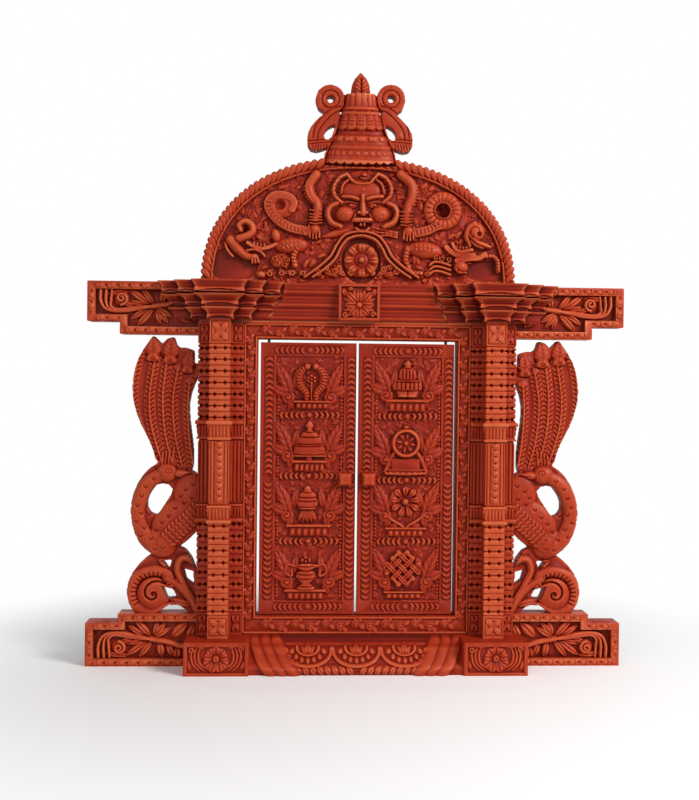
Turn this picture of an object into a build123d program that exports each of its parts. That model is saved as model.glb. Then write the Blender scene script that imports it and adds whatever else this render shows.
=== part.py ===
from build123d import *
import math
import os

# A carved hardwood window with two opening shutters, in the manner of the hill towns.
# The frame stands between a sill beam and a lintel beam whose stepped ends run out past it. Posts and
# front columns flank it, a bird bracket fills each side, and an arched crest with a finial tops it.
# X runs along the window, Z is up and the wall lies behind it at the highest Y. The origin is at the
# middle of the foot. Depths are measured forward from the wall. All sizes are in millimetres.

# Opening and shutters
opening_width = 152.0
opening_height = 210.0
shutter_thickness = 9.0
shutter_side_gap = 2.5
shutter_meeting_gap = 2.0
shutter_head_gap = 2.6
shutter_foot_gap = 1.2
shutter_stand_off = 4.5
shutter_relief = 2.4
shutter_border = 10.0
shutter_edge_line = 1.2
pin_inset = 6.0
pin_radius = 1.1
pin_shank_width = 2.4
pin_clearance = 0.05
pin_grip = 7.0
pin_bite = 8.0

# Knobs
knob_size = 10.5
knob_reach = 7.0
knob_bevel = 2.5
knob_peg_width = 4.0
knob_peg_length = 5.0
knob_inset = 8.0

# Inner frame
jamb_width = 10.0
head_rail_height = 11.5
foot_rail_height = 13.5
frame_depth = 17.0
frame_bead = 1.5
frame_bead_width = 1.6

# Beams with stepped ends
beam_reach = 83.0
board_depth = 16.0
beam_step = 24.0
seat_height = 24.5
wing_height = 33.0
sill_step_height = 6.5
lintel_height = 30.0
lintel_step_height = 9.0
wing_border = 5.5
wing_recess = 5.0
scroll_width = 2.6
scroll_rise = 3.5

# Posts, columns and pedestals
post_width = 34.0
post_depth = 19.0
column_width = 15.5
column_depth = 12.0
block_height = 18.0
block_inset = 0.9
collar_height = 15.0
collar_ring = 4.0
collar_neck = 2.0
shaft_height = 48.0
shaft_inset = 0.6
band_groove = 1.9
band_groove_height = 2.4
upper_bands = 6
lower_bands = 7
pedestal_width = 47.5
pedestal_front = 44.0
pedestal_relief = 1.6
pedestal_border = 3.0

# Apron between the pedestals
apron_front = 42.0
apron_lip = 6.0
apron_shelf = 3.0
apron_relief = 1.5
apron_arcs = 5

# Cornice
capital_lift = 2.5
capital_overhang = 1.6
tier_growth = 5.2
tier_flare = 4.3
tier_lip = 3.0
tier_neck_height = 1.4
tier_neck_inset = 2.2
level_step = 13.0
level_drop = 8.6
level_reveal = 1.2
moulding_reveal = 1.4
moulding_growth = 1.3
moulding_flare = 1.2
lotus_block_width = 31.0
lotus_block_front = 25.0
lotus_block_relief = 1.8
lotus_block_border = 2.2

# Crest
crest_radius = 121.5
crest_rise = 97.0
crest_depth = 12.0
rim_width = 8.0
rim_rise = 4.0
rim_notch = 1.6
rim_leaves = 44
crest_relief = 5.0
mask_width = 40.0
mask_height = 46.0
mask_relief = 7.0
serpent_width = 6.5
arch_half_width = 35.0
arch_height = 34.0
arch_strip = 3.2

# Finial
finial_width = 55.0
finial_height = 69.0
finial_depth = 18.0
finial_back = 2.0
finial_sink = 5.0
finial_relief = 2.2
ribbon_radius = 11.0
ribbon_hole = 2.6
ribbon_depth = 10.0

# Bird brackets
bird_width = 54.0
bird_depth = 12.0
bird_back = 2.0
bird_relief = 2.2
bird_rib_width = 2.4

# Tenons that hold the pieces together, and how far a cut runs past the face that it opens
tenon_width = 7.0
tenon_thickness = 5.0
tenon_length = 7.0
overrun = 1.0

# How many straight runs stand for a stretch of curve
outline_runs = 2
strip_runs = 1
turn_runs = 7
boss_sides = 8
ring_sides = 10

# Places worked out from the driving dimensions
wall_y = pedestal_front / 2
opening_bottom = seat_height + foot_rail_height
opening_top = opening_bottom + opening_height
frame_top = opening_top + head_rail_height
sill_top = wing_height + sill_step_height
lintel_top = frame_top + lintel_height
wing_bottom = frame_top - lintel_step_height
jamb_edge = opening_width / 2
post_edge = jamb_edge + jamb_width
bird_edge = post_edge + post_width
beam_end = bird_edge + beam_reach
post_centre = post_edge + post_width / 2
column_front = post_depth + column_depth
column_middle = post_depth + column_depth / 2
capital_bottom = frame_top + capital_lift
tier_height = (lintel_top - capital_bottom - 2 * tier_neck_height) / 3
crest_centre = lintel_top + crest_rise - crest_radius
crest_top = lintel_top + crest_rise
rim_depth = crest_depth + rim_rise
finial_bottom = crest_top - finial_sink
finial_middle = finial_back + finial_depth / 2
bird_height = wing_bottom - sill_top
bird_front = bird_back + bird_depth
shutter_width = (opening_width - shutter_meeting_gap) / 2 - shutter_side_gap
shutter_height = opening_height - shutter_head_gap - shutter_foot_gap
shutter_bottom = opening_bottom + shutter_foot_gap
shutter_front = shutter_stand_off + shutter_thickness
hinge_x = jamb_edge - shutter_side_gap - pin_inset
hinge_depth = shutter_stand_off + shutter_thickness / 2
upper_pin_span = (opening_top - shutter_head_gap - pin_grip, opening_top + pin_bite)
lower_pin_span = (opening_bottom - pin_bite, shutter_bottom + pin_grip)


# Drawing helpers


def depth_plane(depth):
    """The upright plane at this distance in front of the wall, facing the viewer."""
    return Plane.XZ.offset(depth - wall_y)


def board(outline, back, front):
    """An outline drawn in X and Z, made solid between two depths."""
    return extrude(depth_plane(back) * outline, front - back)


def polygon(points):
    """The face inside straight runs between these points."""
    return make_face(Polyline(*points, close=True))


def blob(points):
    """The face inside a smooth closed curve through these points, in short straight runs."""
    curve = Spline(*points, periodic=True)
    count = outline_runs * len(points)
    return polygon([curve @ (i / count) for i in range(count)])


def strip(points, width):
    """A band of even width along a smooth open curve through these points."""
    curve = Spline(*points)
    count = strip_runs * (len(points) - 1)
    left, right = [], []
    for i in range(count + 1):
        along = curve % (i / count)
        across = Vector(-along.Y, along.X) * (width / 2)
        left.append(curve @ (i / count) + across)
        right.append(curve @ (i / count) - across)
    return polygon(left + right[::-1])


def scroll(radius, width, turns, shrink_share):
    """A coil about the origin that shrinks by a share with every turn."""
    count = round(turns * turn_runs)
    outer, inner = [], []
    for i in range(count + 1):
        angle = 2 * math.pi * i / turn_runs
        reach = radius * shrink_share ** (i / turn_runs)
        half = width / 2 * shrink_share ** (i / turn_runs)
        outer.append(((reach + half) * math.cos(angle), (reach + half) * math.sin(angle)))
        inner.append(((reach - half) * math.cos(angle), (reach - half) * math.sin(angle)))
    return polygon(outer + inner[::-1])


def placed(shares, width, height, bottom=0.0):
    """Points given as shares of a width and a height, put in place."""
    return [(u * width, bottom + v * height) for u, v in shares]


def both_sides(points):
    """A half outline, from its foot up, closed by its mirror image in X."""
    return points + [(-x, z) for x, z in reversed(points) if x]


def mirrored(shape):
    """The same piece on the other side of the window."""
    return mirror(shape, about=Plane.YZ)


def merged(sketches):
    """Several faces as one sketch."""
    result = Sketch()
    for sketch in sketches:
        result += sketch
    return result


petal_shares = ((0.16, 0.0), (0.4, 0.66), (0.0, 1.0))
rosette_root_share = 0.26
rosette_boss_share = 0.3


def petal(length, width):
    """A petal with its root at the origin and its tip along Z."""
    return polygon(both_sides(placed(petal_shares, width, length)))


def rosette(radius, count, sweep=360.0):
    """A flower: petals round a boss, over a full turn or over a fan that opens downwards."""
    root = rosette_root_share * radius
    width = 2 * math.pi * radius * sweep / 360.0 / count
    steps = count if sweep == 360.0 else count - 1
    first = 180.0 - sweep / 2
    flower = [RegularPolygon(rosette_boss_share * radius, boss_sides)]
    for i in range(count):
        flower.append(Rot(0, 0, first + i * sweep / steps) * Pos(0, root) * petal(radius - root, width))
    return merged(flower)


def tenon(x, depth, z, width, height):
    """A square-cut tongue about a point, let into the piece beside it."""
    half = tenon_thickness / 2
    return board(Pos(x, z) * Rectangle(width, height), depth - half, depth + half)


def joint_tenon(x, depth, z):
    """A tongue that stands across a level joint."""
    return tenon(x, depth, z, tenon_width, 2 * tenon_length)


# Beams

stem_shares = ((0.0, 0.3), (0.2, 0.72), (0.42, 0.34), (0.62, 0.7))
leaf_place_shares = ((0.12, 0.42, -50.0), (0.46, 0.45, -40.0))
wing_leaf_share = 0.55
wing_coil_shares = (0.76, 0.52, 0.34)


def wing_vine(inner, outer, low, high):
    """The vine in a beam's end panel: a waving stem, a coil at its tip and leaves."""
    width, height = outer - inner, high - low

    def spot(u, v):
        return (inner + u * width, low + v * height)

    u, v, size = wing_coil_shares
    vine = strip([spot(*share) for share in stem_shares], scroll_width)
    vine += Pos(*spot(u, v)) * scroll(size * height, scroll_width, 1.5, 0.45)
    length = wing_leaf_share * height
    for u, v, turn in leaf_place_shares:
        vine += Pos(*spot(u, v)) * Rot(0, 0, turn) * petal(length, length / 2)
    return vine


def panelled_beam(half_outline, panel, vine):
    """A beam with a sunk panel and a vine in each stepped end."""
    body = board(polygon(both_sides(half_outline)), 0, board_depth)
    floor = board_depth - wing_recess
    inside = vine & panel
    for side in (panel, mirrored(panel)):
        body -= board(side, floor, board_depth + overrun)
    for side in (inside, mirrored(inside)):
        body += board(side, floor, floor + scroll_rise)
    return body


def sill_beam():
    end = beam_end - beam_step
    inner = post_centre + pedestal_width / 2
    outline = [
        (beam_end, 0),
        (beam_end, wing_height),
        (end, wing_height),
        (end, sill_top),
        (bird_edge, sill_top),
        (bird_edge, seat_height),
    ]
    panel = [
        (inner, wing_border),
        (beam_end - wing_border, wing_border),
        (beam_end - wing_border, wing_height - wing_border),
        (end - wing_border, wing_height - wing_border),
        (end - wing_border, sill_top - wing_border),
        (inner, sill_top - wing_border),
    ]
    vine = wing_vine(inner, beam_end - wing_border, wing_border, wing_height - wing_border)
    return panelled_beam(outline, polygon(panel), vine)


def lintel_beam():
    end = beam_end - beam_step
    inner = post_centre + capital_half() + 2 * level_step
    outline = [
        (bird_edge, frame_top),
        (bird_edge, wing_bottom),
        (end, wing_bottom),
        (end, frame_top),
        (beam_end, frame_top),
        (beam_end, lintel_top),
    ]
    panel = [
        (inner, lintel_top - wing_border),
        (beam_end - wing_border, lintel_top - wing_border),
        (beam_end - wing_border, frame_top + wing_border),
        (end - wing_border, frame_top + wing_border),
        (end - wing_border, wing_bottom + wing_border),
        (inner, wing_bottom + wing_border),
    ]
    vine = wing_vine(inner, beam_end - wing_border, frame_top + wing_border, lintel_top - wing_border)
    return panelled_beam(outline, polygon(panel), vine)


# Inner frame


def frame_member(outline, groove):
    """A frame member with its face sunk between two bead lines."""
    sunk = board(polygon(groove), frame_depth - frame_bead, frame_depth + overrun)
    return board(polygon(outline), 0, frame_depth) - sunk


def left_jamb():
    outline = [
        (-jamb_edge, opening_bottom),
        (-jamb_edge, opening_top),
        (-post_edge, frame_top),
        (-post_edge, seat_height),
    ]
    groove = [
        (-jamb_edge - frame_bead_width, opening_bottom),
        (-jamb_edge - frame_bead_width, opening_top),
        (-post_edge + frame_bead_width, opening_top),
        (-post_edge + frame_bead_width, opening_bottom),
    ]
    return frame_member(outline, groove)


def frame_rail(near, far, pin_from, pin_to):
    """The head or foot rail, mitred to the jambs and bored for the pivot pins."""
    low, high = min(near, far) + frame_bead_width, max(near, far) - frame_bead_width
    outline = both_sides([(jamb_edge, near), (post_edge, far)])
    groove = both_sides([(jamb_edge, low), (jamb_edge, high)])
    rail = frame_member(outline, groove)
    for x in (-hinge_x, hinge_x):
        rail -= pin_shank(x, pin_from, pin_to)
    return rail


# Pivot pins

upright = (Align.CENTER, Align.CENTER, Align.MIN)


def pin_shank(x, bottom, top):
    """The square shank that is driven into a rail."""
    shank = Box(pin_shank_width, pin_shank_width, top - bottom, align=upright)
    return Pos(x, wall_y - hinge_depth, bottom) * shank


def pin_end(x, bottom, top, radius=pin_radius):
    """The round end that a shutter turns on."""
    return Pos(x, wall_y - hinge_depth, bottom) * Cylinder(radius, top - bottom, align=upright)


def upper_pin(x):
    low, high = upper_pin_span
    return pin_end(x, low, opening_top) + pin_shank(x, opening_top, high)


def lower_pin(x):
    low, high = lower_pin_span
    return pin_shank(x, low, opening_bottom) + pin_end(x, opening_bottom, high)


# Posts and columns


def column_insets(bottom, top):
    """How far a column's face stands in, from foot to head: blocks, bands, collars and a plain shaft."""
    fixed = 2 * block_height + 2 * collar_height + shaft_height
    pitch = (top - bottom - fixed) / (upper_bands + lower_bands)
    insets = [(block_inset, bottom), (block_inset, bottom + block_height)]

    def bands(z, count):
        for _ in range(count):
            insets.append((band_groove, z))
            insets.append((0.0, z + band_groove_height))
            insets.append((0.0, z + pitch))
            z += pitch
        return z

    z = bands(bottom + block_height, lower_bands)
    insets.append((collar_neck, z + collar_ring))
    insets.append((0.0, z + collar_height - collar_ring))
    z += collar_height
    insets.append((0.0, z))
    insets.append((shaft_inset, z))
    z += shaft_height
    insets.append((shaft_inset, z))
    insets.append((0.0, z))
    insets.append((0.0, z + collar_ring))
    insets.append((collar_neck, z + collar_height - collar_ring))
    z = bands(z + collar_height, upper_bands)
    insets.append((block_inset, z))
    insets.append((block_inset, top))
    return insets


def left_post():
    """The post behind a front column: it shows as a slim notched strip on either side."""
    insets = column_insets(seat_height, frame_top)
    face = polygon(both_sides([(post_width / 2 - inset, z) for inset, z in insets]))
    body = board(Pos(-post_centre, 0) * face, 0, post_depth)
    for z in (seat_height, frame_top):
        body += joint_tenon(-post_centre, board_depth / 2, z)
    return body


def left_front_column():
    """A square column whose mouldings run round its front and sides, with a flat back."""
    insets = column_insets(seat_height, capital_bottom)
    face = polygon(both_sides([(column_width / 2 - inset, z) for inset, z in insets]))
    back = wall_y - post_depth
    wall_side = [(back, capital_bottom), (back, seat_height)]
    profile = polygon([(wall_y - column_front + inset, z) for inset, z in insets] + wall_side)
    body = board(face, post_depth, column_front) & extrude(Plane.YZ * profile, column_width, both=True)
    for z in (seat_height, capital_bottom):
        body += joint_tenon(0, column_middle, z)
    return Pos(-post_centre, 0, 0) * body


# Pedestals and apron

pedestal_petals = 9
pedestal_fan_angle = 220.0
pedestal_flower_share = 0.4
pedestal_lift_share = 0.56
apron_slope_shares = ((0.0, 1.0), (0.3, 0.52), (1.0, 0.0))
apron_arc_share = 0.46
apron_ring_share = 0.13
apron_flower_share = 0.26
apron_petals = 3
apron_fan_angle = 200.0


def left_pedestal():
    """The block under a column, with a fan-shaped flower sunk in its face."""
    face = pedestal_front - pedestal_relief
    middle = Pos(-post_centre, seat_height / 2)
    body = board(middle * Rectangle(pedestal_width, seat_height), board_depth, pedestal_front)
    field = middle * Rectangle(pedestal_width - 2 * pedestal_border, seat_height - 2 * pedestal_border)
    body -= board(field, face, pedestal_front + overrun)
    flower = rosette(pedestal_flower_share * pedestal_width, pedestal_petals, pedestal_fan_angle)
    raised = Pos(-post_centre, pedestal_lift_share * seat_height) * flower
    return body + board(raised & field, face, pedestal_front)


def apron_body(proud):
    """The apron's solid: a shelf, a slope falling forward in a hollow and an upright lip at the foot."""
    reach = apron_front - board_depth - apron_shelf
    shelf = wall_y - board_depth - apron_shelf - proud
    back = wall_y - board_depth
    slope = [(shelf - u * reach, apron_lip + v * (seat_height - apron_lip)) for u, v in apron_slope_shares]
    section = polygon(slope + [(slope[-1][0], 0), (back, 0), (back, seat_height)])
    return extrude(Plane.YZ * section, post_centre - pedestal_width / 2, both=True)


def apron():
    """The carved skirt between the pedestals: a row of arcs with a flower in each."""
    half = post_centre - pedestal_width / 2
    pitch = 2 * half / apron_arcs
    radius = apron_arc_share * pitch
    upper = seat_height - apron_shelf
    ring = RegularPolygon(radius, boss_sides) - RegularPolygon(radius - apron_ring_share * pitch, boss_sides)
    one = ring + rosette(apron_flower_share * pitch, apron_petals, apron_fan_angle)
    row = merged([Pos(-half + (i + 1 / 2) * pitch, upper) * one for i in range(apron_arcs)])
    field = Pos(0, (upper + apron_lip) / 2) * Rectangle(2 * half, upper - apron_lip)
    relief = board(row & field, board_depth, apron_front + apron_relief + overrun) & apron_body(apron_relief)
    return apron_body(0.0) + relief


# Cornice

tier_flare_shares = (1.0, 1.0, 0.2)


def capital_half():
    """Half the width of a capital's front block at its widest."""
    return column_width / 2 + capital_overhang + 2 * tier_growth + tier_flare * tier_flare_shares[-1]


def capital_offsets():
    """How far the three flaring tiers stand out, from the foot up, with a groove between them."""
    offsets = []
    z = capital_bottom
    for tier, flare_share in enumerate(tier_flare_shares):
        foot = capital_overhang + tier * tier_growth
        head = foot + tier_flare * flare_share
        top = z + tier_height
        offsets.extend([(foot, z), (head, top - tier_lip), (head, top)])
        if tier < len(tier_flare_shares) - 1:
            z = top + tier_neck_height
            offsets.extend([(head - tier_neck_inset, top), (head - tier_neck_inset, z)])
    return offsets


def left_capital():
    """Three flaring tiers, with two levels stepping back on each side of the front block."""
    offsets = capital_offsets()
    back = wall_y - board_depth
    wall_side = [(back, lintel_top), (back, capital_bottom)]
    body = Part()
    for level in range(3):
        half = column_width / 2 + level * level_step
        front = column_front - level * level_drop
        face = polygon(both_sides([(half + offset, z) for offset, z in offsets]))
        reach = [(max(front + offset, board_depth + level_reveal), z) for offset, z in offsets]
        profile = polygon([(wall_y - depth, z) for depth, z in reach] + wall_side)
        slab = board(face, board_depth, column_front + capital_half())
        body += slab & extrude(Plane.YZ * profile, half + capital_half(), both=True)
    return Pos(-post_centre, 0, 0) * body - joint_tenon(-post_centre, column_middle, capital_bottom)


def cornice_run():
    """The moulding between the capitals, with the same tiers in low relief."""
    points = [(wall_y - board_depth, capital_bottom)]
    z = capital_bottom
    for tier in range(3):
        reach = board_depth + moulding_reveal + tier * moulding_growth
        top = z + tier_height
        points.append((wall_y - reach, z))
        points.append((wall_y - reach - moulding_flare, top - tier_lip))
        points.append((wall_y - reach - moulding_flare, top))
        if tier < 2:
            points.append((wall_y - reach, top))
            z = top + tier_neck_height
    points.append((wall_y - board_depth, lintel_top))
    return extrude(Plane.YZ * polygon(points), post_centre, both=True)


lotus_flower_share = 0.5
lotus_lift_share = 0.42
lotus_petals = 7
lotus_fan_angle = 260.0


def lotus_block():
    """The square block at the middle of the cornice, with an open flower."""
    height = lintel_top - capital_bottom
    middle = Pos(0, capital_bottom + height / 2)
    face = lotus_block_front - lotus_block_relief
    body = board(middle * Rectangle(lotus_block_width, height), board_depth, lotus_block_front)
    field = middle * Rectangle(lotus_block_width - 2 * lotus_block_border, height - 2 * lotus_block_border)
    body -= board(field, face, lotus_block_front + overrun)
    radius = lotus_flower_share * lotus_block_width
    flower = rosette(radius, lotus_petals, lotus_fan_angle) + petal(radius, radius)
    raised = Pos(0, capital_bottom + lotus_lift_share * height) * flower
    return body + board(raised & field, face, lotus_block_front)


# Crest


def crest_outline():
    """A circle segment on the lintel with a toothed edge, one tooth for each leaf of the rim."""
    half_angle = math.acos((crest_radius - crest_rise) / crest_radius)
    foot = crest_radius * math.sin(half_angle)
    points = [(foot, lintel_top)]
    for i in range(1, 2 * rim_leaves):
        angle = half_angle - i * half_angle / rim_leaves
        reach = crest_radius - rim_notch * (i % 2)
        z = crest_centre + reach * math.cos(angle)
        if z > lintel_top:
            points.append((reach * math.sin(angle), z))
    return polygon(points + [(-foot, lintel_top)])


def crest_field():
    """The sunk field inside the rim."""
    radius = crest_radius - rim_width
    half_angle = math.acos((crest_radius - crest_rise) / radius)
    angles = [half_angle * (1 - i / rim_leaves) for i in range(2 * rim_leaves + 1)]
    return polygon([(radius * math.sin(a), crest_centre + radius * math.cos(a)) for a in angles[::2]])


face_shares = ((0.0, -0.5), (0.3, -0.42), (0.5, -0.2), (0.46, 0.12), (0.36, 0.4), (0.0, 0.5))
cheek_shares = (0.32, -0.16, 0.17)
eye_shares = (0.19, 0.06, 0.09)
nose_shares = ((0.12, -0.2), (0.06, 0.02), (0.05, 0.2))
brow_shares = ((0.04, 0.16), (0.4, 0.1), (0.42, 0.18), (0.06, 0.24))
horn_shares = ((0.06, 0.46), (0.34, 0.42), (0.56, 0.5), (0.48, 0.66), (0.3, 0.54))
arm_shares = ((0.94, 0.42), (1.14, 0.3), (1.08, 0.06), (0.94, -0.14), (0.96, -0.4), (0.98, -0.62))
hand_shares = ((0.8, -0.42), (1.12, -0.42), (1.2, -0.7), (0.78, -0.7))
arm_width_share = 0.24
mask_lift_share = 0.6
mask_rise_shares = (0.55, 0.8, 0.75, 1.0, 0.85, 0.6, 0.6, 0.7)


def mask_faces():
    """The guardian face at the middle of the crest and the two arms beside it."""
    middle = lintel_top + mask_lift_share * crest_rise

    def part_of(shares):
        return placed(shares, mask_width, mask_height, middle)

    def twice(face):
        return face + mirrored(face)

    def two_discs(shares):
        u, v, radius = shares
        return twice(Pos(*part_of([(u, v)])[0]) * RegularPolygon(radius * mask_width, boss_sides))

    return [
        polygon(both_sides(part_of(face_shares))),
        two_discs(cheek_shares),
        two_discs(eye_shares),
        polygon(both_sides(part_of(nose_shares))),
        twice(polygon(part_of(brow_shares))),
        twice(polygon(part_of(horn_shares))),
        twice(strip(part_of(arm_shares), arm_width_share * mask_width)),
        twice(polygon(part_of(hand_shares))),
    ]


serpent_place_shares = (0.52, 0.58)
serpent_ring_share = 1.87
serpent_neck_shares = ((0.34, 0.38), (0.42, 0.4), (0.5, 0.46))
beast_head_shares = (0.745, 0.4, 0.075)
beast_body_shares = ((0.8, 0.34), (0.76, 0.24), (0.62, 0.2), (0.5, 0.27), (0.4, 0.24))
foot_coil_shares = ((0.47, 0.1, 0.055),)


def crest_beasts():
    """On the right-hand half: a serpent looped beside the arm, a water beast below it and coils of leaf."""

    def spot(u, v):
        return (u * crest_radius, lintel_top + v * crest_rise)

    def spots(shares):
        return [spot(u, v) for u, v in shares]

    ring = serpent_ring_share * serpent_width - serpent_width / 2
    carved = Pos(*spot(*serpent_place_shares)) * scroll(ring, serpent_width, 1.2, 0.4)
    carved += strip(spots(serpent_neck_shares), serpent_width)
    u, v, size = beast_head_shares
    carved += Pos(*spot(u, v)) * RegularPolygon(size * crest_radius, ring_sides)
    carved += strip(spots(beast_body_shares), serpent_width)
    for u, v, size in foot_coil_shares:
        carved += Pos(*spot(u, v)) * scroll(size * crest_radius, serpent_width / 2, 1.3, 0.45)
    return carved


arch_shares = ((1.0, 0.0), (0.72, 0.22), (0.46, 0.5), (0.4, 0.72), (0.24, 0.94), (0.0, 1.0))
arch_flower_share = 0.34
arch_flower_lift_share = 0.46
arch_petals = 8
low_relief_share = 0.6


def small_arch(inset):
    """The ogee arch at the foot of the crest, taken in by an inset."""
    half = placed(arch_shares, arch_half_width - inset, arch_height - inset, lintel_top)
    return polygon(both_sides(half))


def crest_tenon():
    """The tongue along the crest's foot, let into the lintel."""
    return tenon(0, crest_depth / 2, lintel_top, crest_rise, 2 * tenon_length)


def crest():
    """The arched board: a leaf rim, a guardian mask between beasts, and a flower under a small arch."""
    field = crest_field()
    arch = small_arch(0.0)
    beasts = crest_beasts()
    flower_place = Pos(0, lintel_top + arch_flower_lift_share * arch_height)
    flower = flower_place * rosette(arch_flower_share * arch_height, arch_petals)
    raised = [
        ((beasts + mirrored(beasts)) & (field - arch), low_relief_share * crest_relief),
        (arch - small_arch(arch_strip), crest_relief),
        (flower, low_relief_share * crest_relief),
    ]
    raised.extend((face & field, share * mask_relief) for face, share in zip(mask_faces(), mask_rise_shares))
    body = board(crest_outline(), 0, rim_depth) - board(field, crest_depth, rim_depth + overrun)
    for face, rise in raised:
        body += board(face, crest_depth, crest_depth + rise)
    return body - finial_seat() + crest_tenon()


# Finial

bell_shares = (
    (0.5, 0.0),
    (0.49, 0.1),
    (0.456, 0.155),
    (0.398, 0.25),
    (0.37, 0.29),
    (0.33, 0.43),
    (0.3, 0.5),
    (0.27, 0.52),
    (0.25, 0.6),
    (0.216, 0.76),
)
bud_shares = ((0.13, 0.76), (0.126, 0.85), (0.085, 0.925), (0.0, 1.0))
band_shares = ((0.0, 0.1), (0.16, 0.25), (0.34, 0.49), (0.52, 0.6), (0.62, 0.76))
ribbon_loop_shares = (0.422, 0.7)
ribbon_tail_shares = (
    (0.505, 0.54),
    (0.629, 0.446),
    (0.712, 0.343),
    (0.73, 0.25),
    (0.71, 0.17),
    (0.66, 0.141),
    (0.487, 0.164),
    (0.3, 0.25),
    (0.26, 0.5),
    (0.34, 0.6),
)
ribbon_gap_shares = ((0.351, 0.427), (0.428, 0.4), (0.5, 0.32), (0.47, 0.26), (0.42, 0.27), (0.365, 0.36))


def finial_tenon():
    """The tongue under the finial's foot."""
    return joint_tenon(0, finial_middle, finial_bottom)


def finial_seat():
    """The notch in the crest's top that takes the finial's foot, and the mortise below it."""
    foot = Pos(0, finial_bottom + finial_sink) * Rectangle(finial_width, 2 * finial_sink)
    return board(foot, 0, pedestal_front) + finial_tenon()


def finial():
    """A stepped bell with a bud on top and a looped ribbon on each side."""
    front = finial_back + finial_depth

    def points(shares):
        return placed(shares, finial_width, finial_height, finial_bottom)

    bell = polygon(both_sides(points(bell_shares)))
    bud = polygon(both_sides(points(bud_shares)))
    loop = Pos(*points([ribbon_loop_shares])[0])
    ribbon = loop * RegularPolygon(ribbon_radius, ring_sides) + blob(points(ribbon_tail_shares))
    ribbon -= blob(points(ribbon_gap_shares))
    ribbon -= loop * RegularPolygon(ribbon_hole, boss_sides)
    body = board(bell + bud, finial_back, front - finial_relief)
    body += board(ribbon + mirrored(ribbon), finial_back, finial_back + ribbon_depth)
    for low, high in band_shares:
        middle = Pos(0, finial_bottom + (low + high) / 2 * finial_height)
        band = bell & (middle * Rectangle(finial_width, (high - low) * finial_height))
        body += board(band, finial_back, front)
    return body + finial_tenon()


# Bird brackets, drawn on the left: shares run outwards from the post and up from the sill

train_shares = (
    (0.08, 0.52),
    (0.11, 0.66),
    (0.12, 0.78),
    (0.02, 0.85),
    (-0.02, 0.9),
    (0.08, 0.945),
    (0.2, 0.955),
    (0.29, 0.952),
    (0.37, 0.995),
    (0.46, 0.985),
    (0.52, 0.968),
    (0.6, 1.0),
    (0.7, 0.975),
    (0.83, 0.92),
    (0.92, 0.82),
    (0.88, 0.73),
    (0.77, 0.66),
    (0.64, 0.59),
    (0.5, 0.52),
)
breast_shares = (
    (0.42, 0.545),
    (0.3, 0.53),
    (0.02, 0.5),
    (-0.02, 0.42),
    (0.0, 0.3),
    (0.2, 0.25),
    (0.4, 0.215),
    (0.62, 0.21),
    (0.86, 0.28),
    (0.93, 0.37),
    (0.9, 0.43),
    (0.77, 0.495),
    (0.56, 0.54),
)
neck_gap_shares = (
    (0.5, 0.465),
    (0.36, 0.45),
    (0.48, 0.385),
    (0.6, 0.35),
    (0.7, 0.37),
    (0.7, 0.415),
    (0.62, 0.45),
)
wing_shares = ((0.04, 0.42), (0.02, 0.32), (0.2, 0.27), (0.42, 0.27), (0.42, 0.33), (0.24, 0.37))
foliage_shares = (
    (0.58, 0.22),
    (0.8, 0.18),
    (0.98, 0.09),
    (0.94, 0.03),
    (0.76, -0.02),
    (0.56, 0.0),
    (0.4, 0.03),
    (0.2, 0.02),
    (0.02, -0.02),
    (0.0, 0.07),
    (0.04, 0.17),
    (0.26, 0.24),
)
foliage_gap_shares = (
    ((0.5, 0.19), (0.36, 0.19), (0.4, 0.155)),
    ((0.2, 0.16), (0.06, 0.15), (0.05, 0.1), (0.16, 0.12)),
    ((0.5, 0.1), (0.34, 0.085), (0.28, 0.055), (0.42, 0.05)),
)
coil_shares = (0.67, 0.085, 0.2)
bird_eye_shares = (0.38, 0.515, 0.045)
rib_foot_shares = (0.32, 0.57)
rib_head_shares = ((0.1, 0.9), (0.26, 0.92), (0.44, 0.95), (0.62, 0.94), (0.78, 0.87))
rib_bow_share = 0.6
bird_tenon_shares = (0.4, 0.89)


def bird_tenons():
    """The tongues that hold a bird to its post."""
    depth = bird_back + bird_depth / 2
    heights = [sill_top + share * bird_height for share in bird_tenon_shares]
    return [tenon(-bird_edge, depth, z, 2 * tenon_length, tenon_width) for z in heights]


def left_bird():
    """A pierced board: a raised train of feathers, a curved neck and a coil of foliage below."""

    def spot(u, v):
        return (-bird_edge - u * bird_width, sill_top + v * bird_height)

    def spots(shares):
        return [spot(u, v) for u, v in shares]

    room = Pos(-bird_edge - bird_width, sill_top + bird_height / 2) * Rectangle(2 * bird_width, bird_height)
    outline = merged([blob(spots(shares)) for shares in (train_shares, breast_shares, foliage_shares)]) & room
    outline -= blob(spots(neck_gap_shares))
    for gap in foliage_gap_shares:
        outline -= polygon(spots(gap))
    u, v, size = bird_eye_shares
    raised = [polygon(spots(wing_shares)), Pos(*spot(u, v)) * RegularPolygon(size * bird_width, boss_sides)]
    low_u, low_v = rib_foot_shares
    for u, v in rib_head_shares:
        bow = (low_u + (u - low_u) * rib_bow_share, (low_v + v) / 2)
        raised.append(strip(spots([rib_foot_shares, bow, (u, v)]), bird_rib_width))
    u, v, size = coil_shares
    raised.append(Pos(*spot(u, v)) * scroll(size * bird_width, bird_rib_width, 2, 0.5))
    body = board(outline, bird_back, bird_front)
    for face in raised:
        body += board(face & outline, bird_front, bird_front + bird_relief)
    return body + bird_tenons()


# Shutters and knobs

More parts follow.
